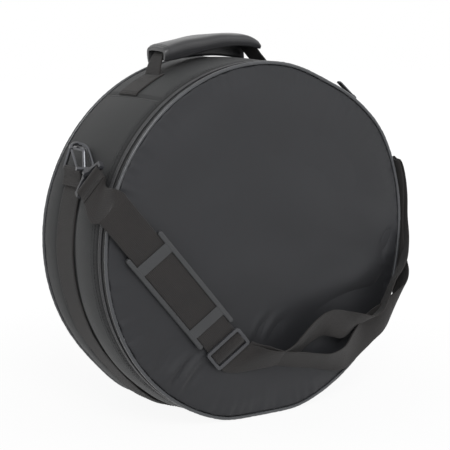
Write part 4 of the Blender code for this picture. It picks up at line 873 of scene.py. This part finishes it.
def build_grip(foot_place, along, up):
    """Padded wrap that hangs over the loop as a saddle: its top follows top - arch * (place - peak) squared,
    and its right end drops a little more."""
    rows = smooth_rows(GRIP_ROWS, 20)
    place, front, back = rows.T
    count = len(rows)
    off_middle = np.abs(place - (place[0] + place[-1]) / 2) / ((place[-1] - place[0]) / 2)
    end = np.clip((off_middle - 0.90) / 0.10, 0.0, 1.0)
    crown = (GRIP_TOP - GRIP_ARCH * (place - GRIP_PEAK) ** 2 - 0.0012 * end ** 2
             - 0.0085 * np.clip((place - 0.034) / (place[-1] - 0.034), 0.0, 1.0) ** 2)
    wide = np.broadcast_to(GRIP_ACROSS, (count, len(GRIP_ACROSS))) * (1.0 - 0.06 * end ** 2)[:, None]
    low = np.where(wide < 0.0, front[:, None], back[:, None])
    tall = low + (crown[:, None] - low) * np.asarray(GRIP_SHARES)
    controls = np.stack([wide, tall], -1).transpose(1, 0, 2).reshape(len(GRIP_ACROSS), -1)
    outer = smooth_rows(controls, 7).reshape(-1, count, 2).transpose(1, 0, 2)
    ahead = unit(np.gradient(outer, axis=1))
    inward = np.stack([ahead[..., 1], -ahead[..., 0]], -1)
    around = np.linspace(0.0, math.pi, outer.shape[1])
    puff = 0.0006 * np.sin(place * 130.0 + 0.6)[:, None] * np.sin(around * 2.0)
    outer = outer - inward * (puff * np.sin(around))[..., None]
    inner = outer + inward * (GRIP_HEM + (GRIP_THICK - GRIP_HEM) * np.sqrt(np.sin(around).clip(0.0)))[:, None]
    hems = [(outer[:, i] + inner[:, i]) / 2 - ahead[:, i] * turn for i, turn in ((0, 0.0009), (-1, -0.0009))]
    section = np.concatenate([hems[0][:, None], outer, hems[1][:, None], inner[:, ::-1]], axis=1)

    def placed(outline):
        """Places of outline points (across, height) at each station."""
        across = np.array([0.0, 1.0, 0.0])
        spine = foot_place + along * place[:, None]
        return spine[:, None] + across * outline[..., :1] + up * outline[..., 1:]

    grip = carried("grip_wrap", placed(section), "leather", "handle", ["handle_grip"], sharp=60.0)
    skin, lift = placed(outer), placed(outer - inward) - placed(outer)
    runs = [(skin[i], lift[i]) for i in (4, 8, -5)]
    runs += [(skin[4:-4, j], lift[4:-4, j]) for j in (4, -5)]
    stitches("grip_hem_thread", runs, "handle", pitch=0.0030, length=0.0021)


# Hardware

def build_hardware():
    """Finishes for the hardware that keeps its solids' own shapes."""
    for kinds, sides, material in ((("ring", "hook", "gate"), ("left", "right"), "metal"),
                                   (("zip_slider", "zip_pull"), ("upper", "lower"), "metal"),
                                   (("yoke",), ("left", "right"), "nylon")):
        for node in (f"{kind}_{side}" for kind in kinds for side in sides):
            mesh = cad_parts[node].data
            mesh.materials.clear()
            mesh.materials.append(MATERIALS[material])


# Shoulder strap

def route(rows, steps):
    """Smoothed line and width directions from a table of places and directions."""
    rows = np.asarray(rows, float)
    rows[:, 3:] = unit(rows[:, 3:])
    curve = smooth_rows(rows, steps)
    return curve[:, :3], curve[:, 3:]


def limp(piece):
    """A piece of the strap, given its own copy of its mesh."""
    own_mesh(piece)
    return piece


def build_strap():
    """Long webbing, return webbing, sewn ends, pad and length slider."""
    rim, rim_across = route(RIM_ROUTE, 8)
    pad, pad_across = route(PAD_ROUTE, 20)
    rest, rest_across = route(WEAVE_ROUTE + UPPER_ROUTE, 8)
    line = np.concatenate([rim, pad[:-1], rest])
    across = np.concatenate([rim_across, pad_across[:-1], rest_across])
    upper = limp(ribbon("strap_long_webbing", line, across, "strap", ["strap_long"], width=WEBBING))
    under, under_across = route(LOWER_ROUTE, 8)
    lower = limp(ribbon("strap_return_webbing", under, under_across, "strap", ["strap_return"],
                        width=WEBBING))
    end_runs = []
    for side, label in ((-1, "left"), (1, "right")):
        bar = np.array(YOKE_BAR) * [side, 1.0, 1.0]
        tail = np.array(TAIL_AHEAD[side])
        along = np.array(YOKE_ALONG) * [1.0, side, side]
        outward = unit(np.cross(tail, along))
        outward = outward if outward[0] * side > 0 else -outward
        rolled = rolled_line(bar, tail, outward, YOKE_BAR_RADIUS, STRAP_END_REACH)
        ribbon(f"strap_end_{label}_fold", rolled, along, "strap", [f"strap_end_{label}"])
        end_runs += box_runs(bar + tail * 0.0062, tail, along, outward, 0.0062)
    stitches("strap_end_thread", end_runs, "strap", pitch=0.0028, length=0.0021)
    for node, name, material, body, radius in (
            ("shoulder_pad", "shoulder_pad_moulding", "rubber", "pad", 0.0007),
            ("length_slider", "length_slider_moulding", "nylon", "strap_slider", 0.0011)):
        limp(rounded_copy(node, name, material, body, radius))


def rounded_copy(node, name, material, body, radius):
    """A solid's own mesh, merged, with its edges rounded to this radius."""
    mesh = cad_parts[node].data.copy()
    mesh.name = name
    piece = add_object(name, mesh)
    mesh.materials.clear()
    mesh.materials.append(MATERIALS[material])
    merge = piece.modifiers.new("merge", 'WELD')
    merge.merge_threshold = 0.00002
    dissolve = piece.modifiers.new("flat_faces", 'DECIMATE')
    dissolve.decimate_type = 'DISSOLVE'
    dissolve.angle_limit = math.radians(1.0)
    bevel = piece.modifiers.new("round_edges", 'BEVEL')
    bevel.width = radius
    bevel.segments = 2
    bevel.limit_method = 'ANGLE'
    bevel.angle_limit = math.radians(35.0)
    bpy.context.view_layer.update()
    final = bpy.data.meshes.new_from_object(piece.evaluated_get(bpy.context.evaluated_depsgraph_get()))
    piece.modifiers.clear()
    piece.data = final
    final.shade_smooth()
    final.set_sharp_from_angle(angle=math.radians(35.0))
    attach(piece, body)
    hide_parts(node)
    return piece


# Camera, floor and light

# The camera that was fitted to the photograph: turns in degrees, lens and sensor in mm, the rest in metres
CAMERA_YAW, CAMERA_PITCH, CAMERA_ROLL = -33.79, 9.16, 0.44
CAMERA_LENS, CAMERA_SENSOR, CAMERA_DISTANCE, CAMERA_FAR = 109.43, 36.0, 1.5474, 20.0
CAMERA_RIGHT, CAMERA_UP = -0.0037, 0.0106
# Soft lamps: place, size, watts
LAMPS = (("key_lamp", (-0.75, -1.6, 1.45), 0.9, 17.5), ("top_lamp", (-0.3, 0.2, 2.4), 1.2, 1.0),
         ("fill_lamp", (1.7, -1.8, 1.5), 1.4, 5.0))
FLOOR_HALF = 6.0
PAPER_GLOW, NEAR_SCALE, NEAR_SHADE = 1.06, 0.9, -0.14    # the floor as seen, darker under the bag: painted shade that dims the glow near the bag, where the lit paper's real shadow also shows
SKY_LIGHT, SKY_FALL = 0.38, -0.34    # light from the sides, and its change up to straight above
WHITE = (1.0, 1.0, 1.0, 1.0)


def build_camera():
    """Camera at the photograph's angle, aimed at the bag's axis and shifted in its own plane."""
    yaw, pitch, roll = (math.radians(turn) for turn in (CAMERA_YAW, CAMERA_PITCH, CAMERA_ROLL))
    back = np.array([math.sin(yaw) * math.cos(pitch), -math.cos(yaw) * math.cos(pitch), math.sin(pitch)])
    right = np.array([math.cos(yaw), math.sin(yaw), 0.0])
    up = np.cross(back, right)
    right, up = (math.cos(roll) * right + math.sin(roll) * up, math.cos(roll) * up - math.sin(roll) * right)
    place = np.array([0.0, 0.0, CENTRE_Z]) + right * CAMERA_RIGHT + up * CAMERA_UP + back * CAMERA_DISTANCE
    data = bpy.data.cameras.new("camera")
    data.lens, data.sensor_width, data.clip_end = CAMERA_LENS, CAMERA_SENSOR, CAMERA_FAR
    camera = add_object("camera", data)
    matrix = np.eye(4)
    matrix[:3] = np.stack([right, up, back, place], -1)
    camera.matrix_world = Matrix(matrix.tolist())
    bpy.context.scene.camera = camera


def mix_for_camera(tree, share, others, seen, output):
    """What the camera sees by this share, and the other shader for all other light."""
    mixed = add_node(tree, "ShaderNodeMixShader", i0=share, i1=others.outputs[0], i2=seen.outputs[0])
    add_node(tree, output, i0=mixed.outputs[0])


def build_studio():
    """A pale floor that keeps the shadow, a white background, and soft lamps."""
    corners = [(x * FLOOR_HALF, y * FLOOR_HALF, 0) for x, y in ((-1, -1), (1, -1), (1, 1), (-1, 1))]
    floor_mesh = bpy.data.meshes.new("floor")
    floor_mesh.from_pydata(corners, [], [(0, 1, 2, 3)])
    floor = add_object("floor", floor_mesh)
    material = bpy.data.materials.new("studio_paper_white")
    tree = empty_tree(material)
    paper = add_node(tree, "ShaderNodeBsdfDiffuse", Color=linear("f2f2f2"))
    glow = add_node(tree, "ShaderNodeEmission", Color=WHITE, Strength=PAPER_GLOW)
    # painted shade: nearer the bag the glow's share drops, so the floor dims there and the lit paper's real
    # shadow shows through
    near = add_node(tree, "ShaderNodeTexGradient", {"gradient_type": "SPHERICAL"},
                    Vector=scaled_place(tree, NEAR_SCALE))
    shade = calculate(tree, "MULTIPLY_ADD", near.outputs[1], NEAR_SHADE, 1.0)
    mix_for_camera(tree, calculate(tree, "MULTIPLY", camera_share(tree), shade), paper, glow,
                   "ShaderNodeOutputMaterial")
    floor_mesh.materials.append(material)

    world = bpy.data.worlds.new("studio")
    bpy.context.scene.world = world
    tree = empty_tree(world)
    generated = add_node(tree, "ShaderNodeTexCoord").outputs["Generated"]
    heading = add_node(tree, "ShaderNodeSeparateXYZ", Vector=generated)
    ceiling = calculate(tree, "MULTIPLY_ADD", heading.outputs[2], SKY_FALL, SKY_LIGHT)
    soft = add_node(tree, "ShaderNodeBackground", Color=WHITE, Strength=ceiling)
    white = add_node(tree, "ShaderNodeBackground", Color=WHITE, Strength=1.0)
    mix_for_camera(tree, camera_share(tree), soft, white, "ShaderNodeOutputWorld")

    for name, spot, size, power in LAMPS:
        lamp = bpy.data.lights.new(name, 'AREA')
        lamp.size, lamp.energy = size, power
        item = add_object(name, lamp)
        item.location = spot
        aim = Vector((0.0, 0.0, CENTRE_Z)) - Vector(spot)
        item.rotation_euler = aim.to_track_quat('-Z', 'Y').to_euler()


def camera_share(tree):
    """One for camera, glossy and transmission rays, and nothing for the others."""
    path = add_node(tree, "ShaderNodeLightPath")
    total = path.outputs["Is Camera Ray"]
    for name in ("Is Glossy Ray", "Is Transmission Ray"):
        total = calculate(tree, "MAXIMUM", total, path.outputs[name])
    return total


build_camera()
build_studio()
build_gusset()
build_piping("back_piping_cord", "back_piping", HALF_DEPTH, "case", 3)
build_piping("lid_piping_cord", "lid_piping", -HALF_DEPTH, "lid", 4)
for built in (build_panel("lid_panel_cloth", "lid_panel", -1.0, "lid", 12, LID_FOLDS),
              build_panel("back_panel_cloth", "back_panel", 1.0, "case", 14, [])):
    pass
build_zip()
build_strips()
build_inside()
build_band()
build_handle()
build_hardware()
build_strap()

bpy.context.scene.view_settings.view_transform = 'Standard'
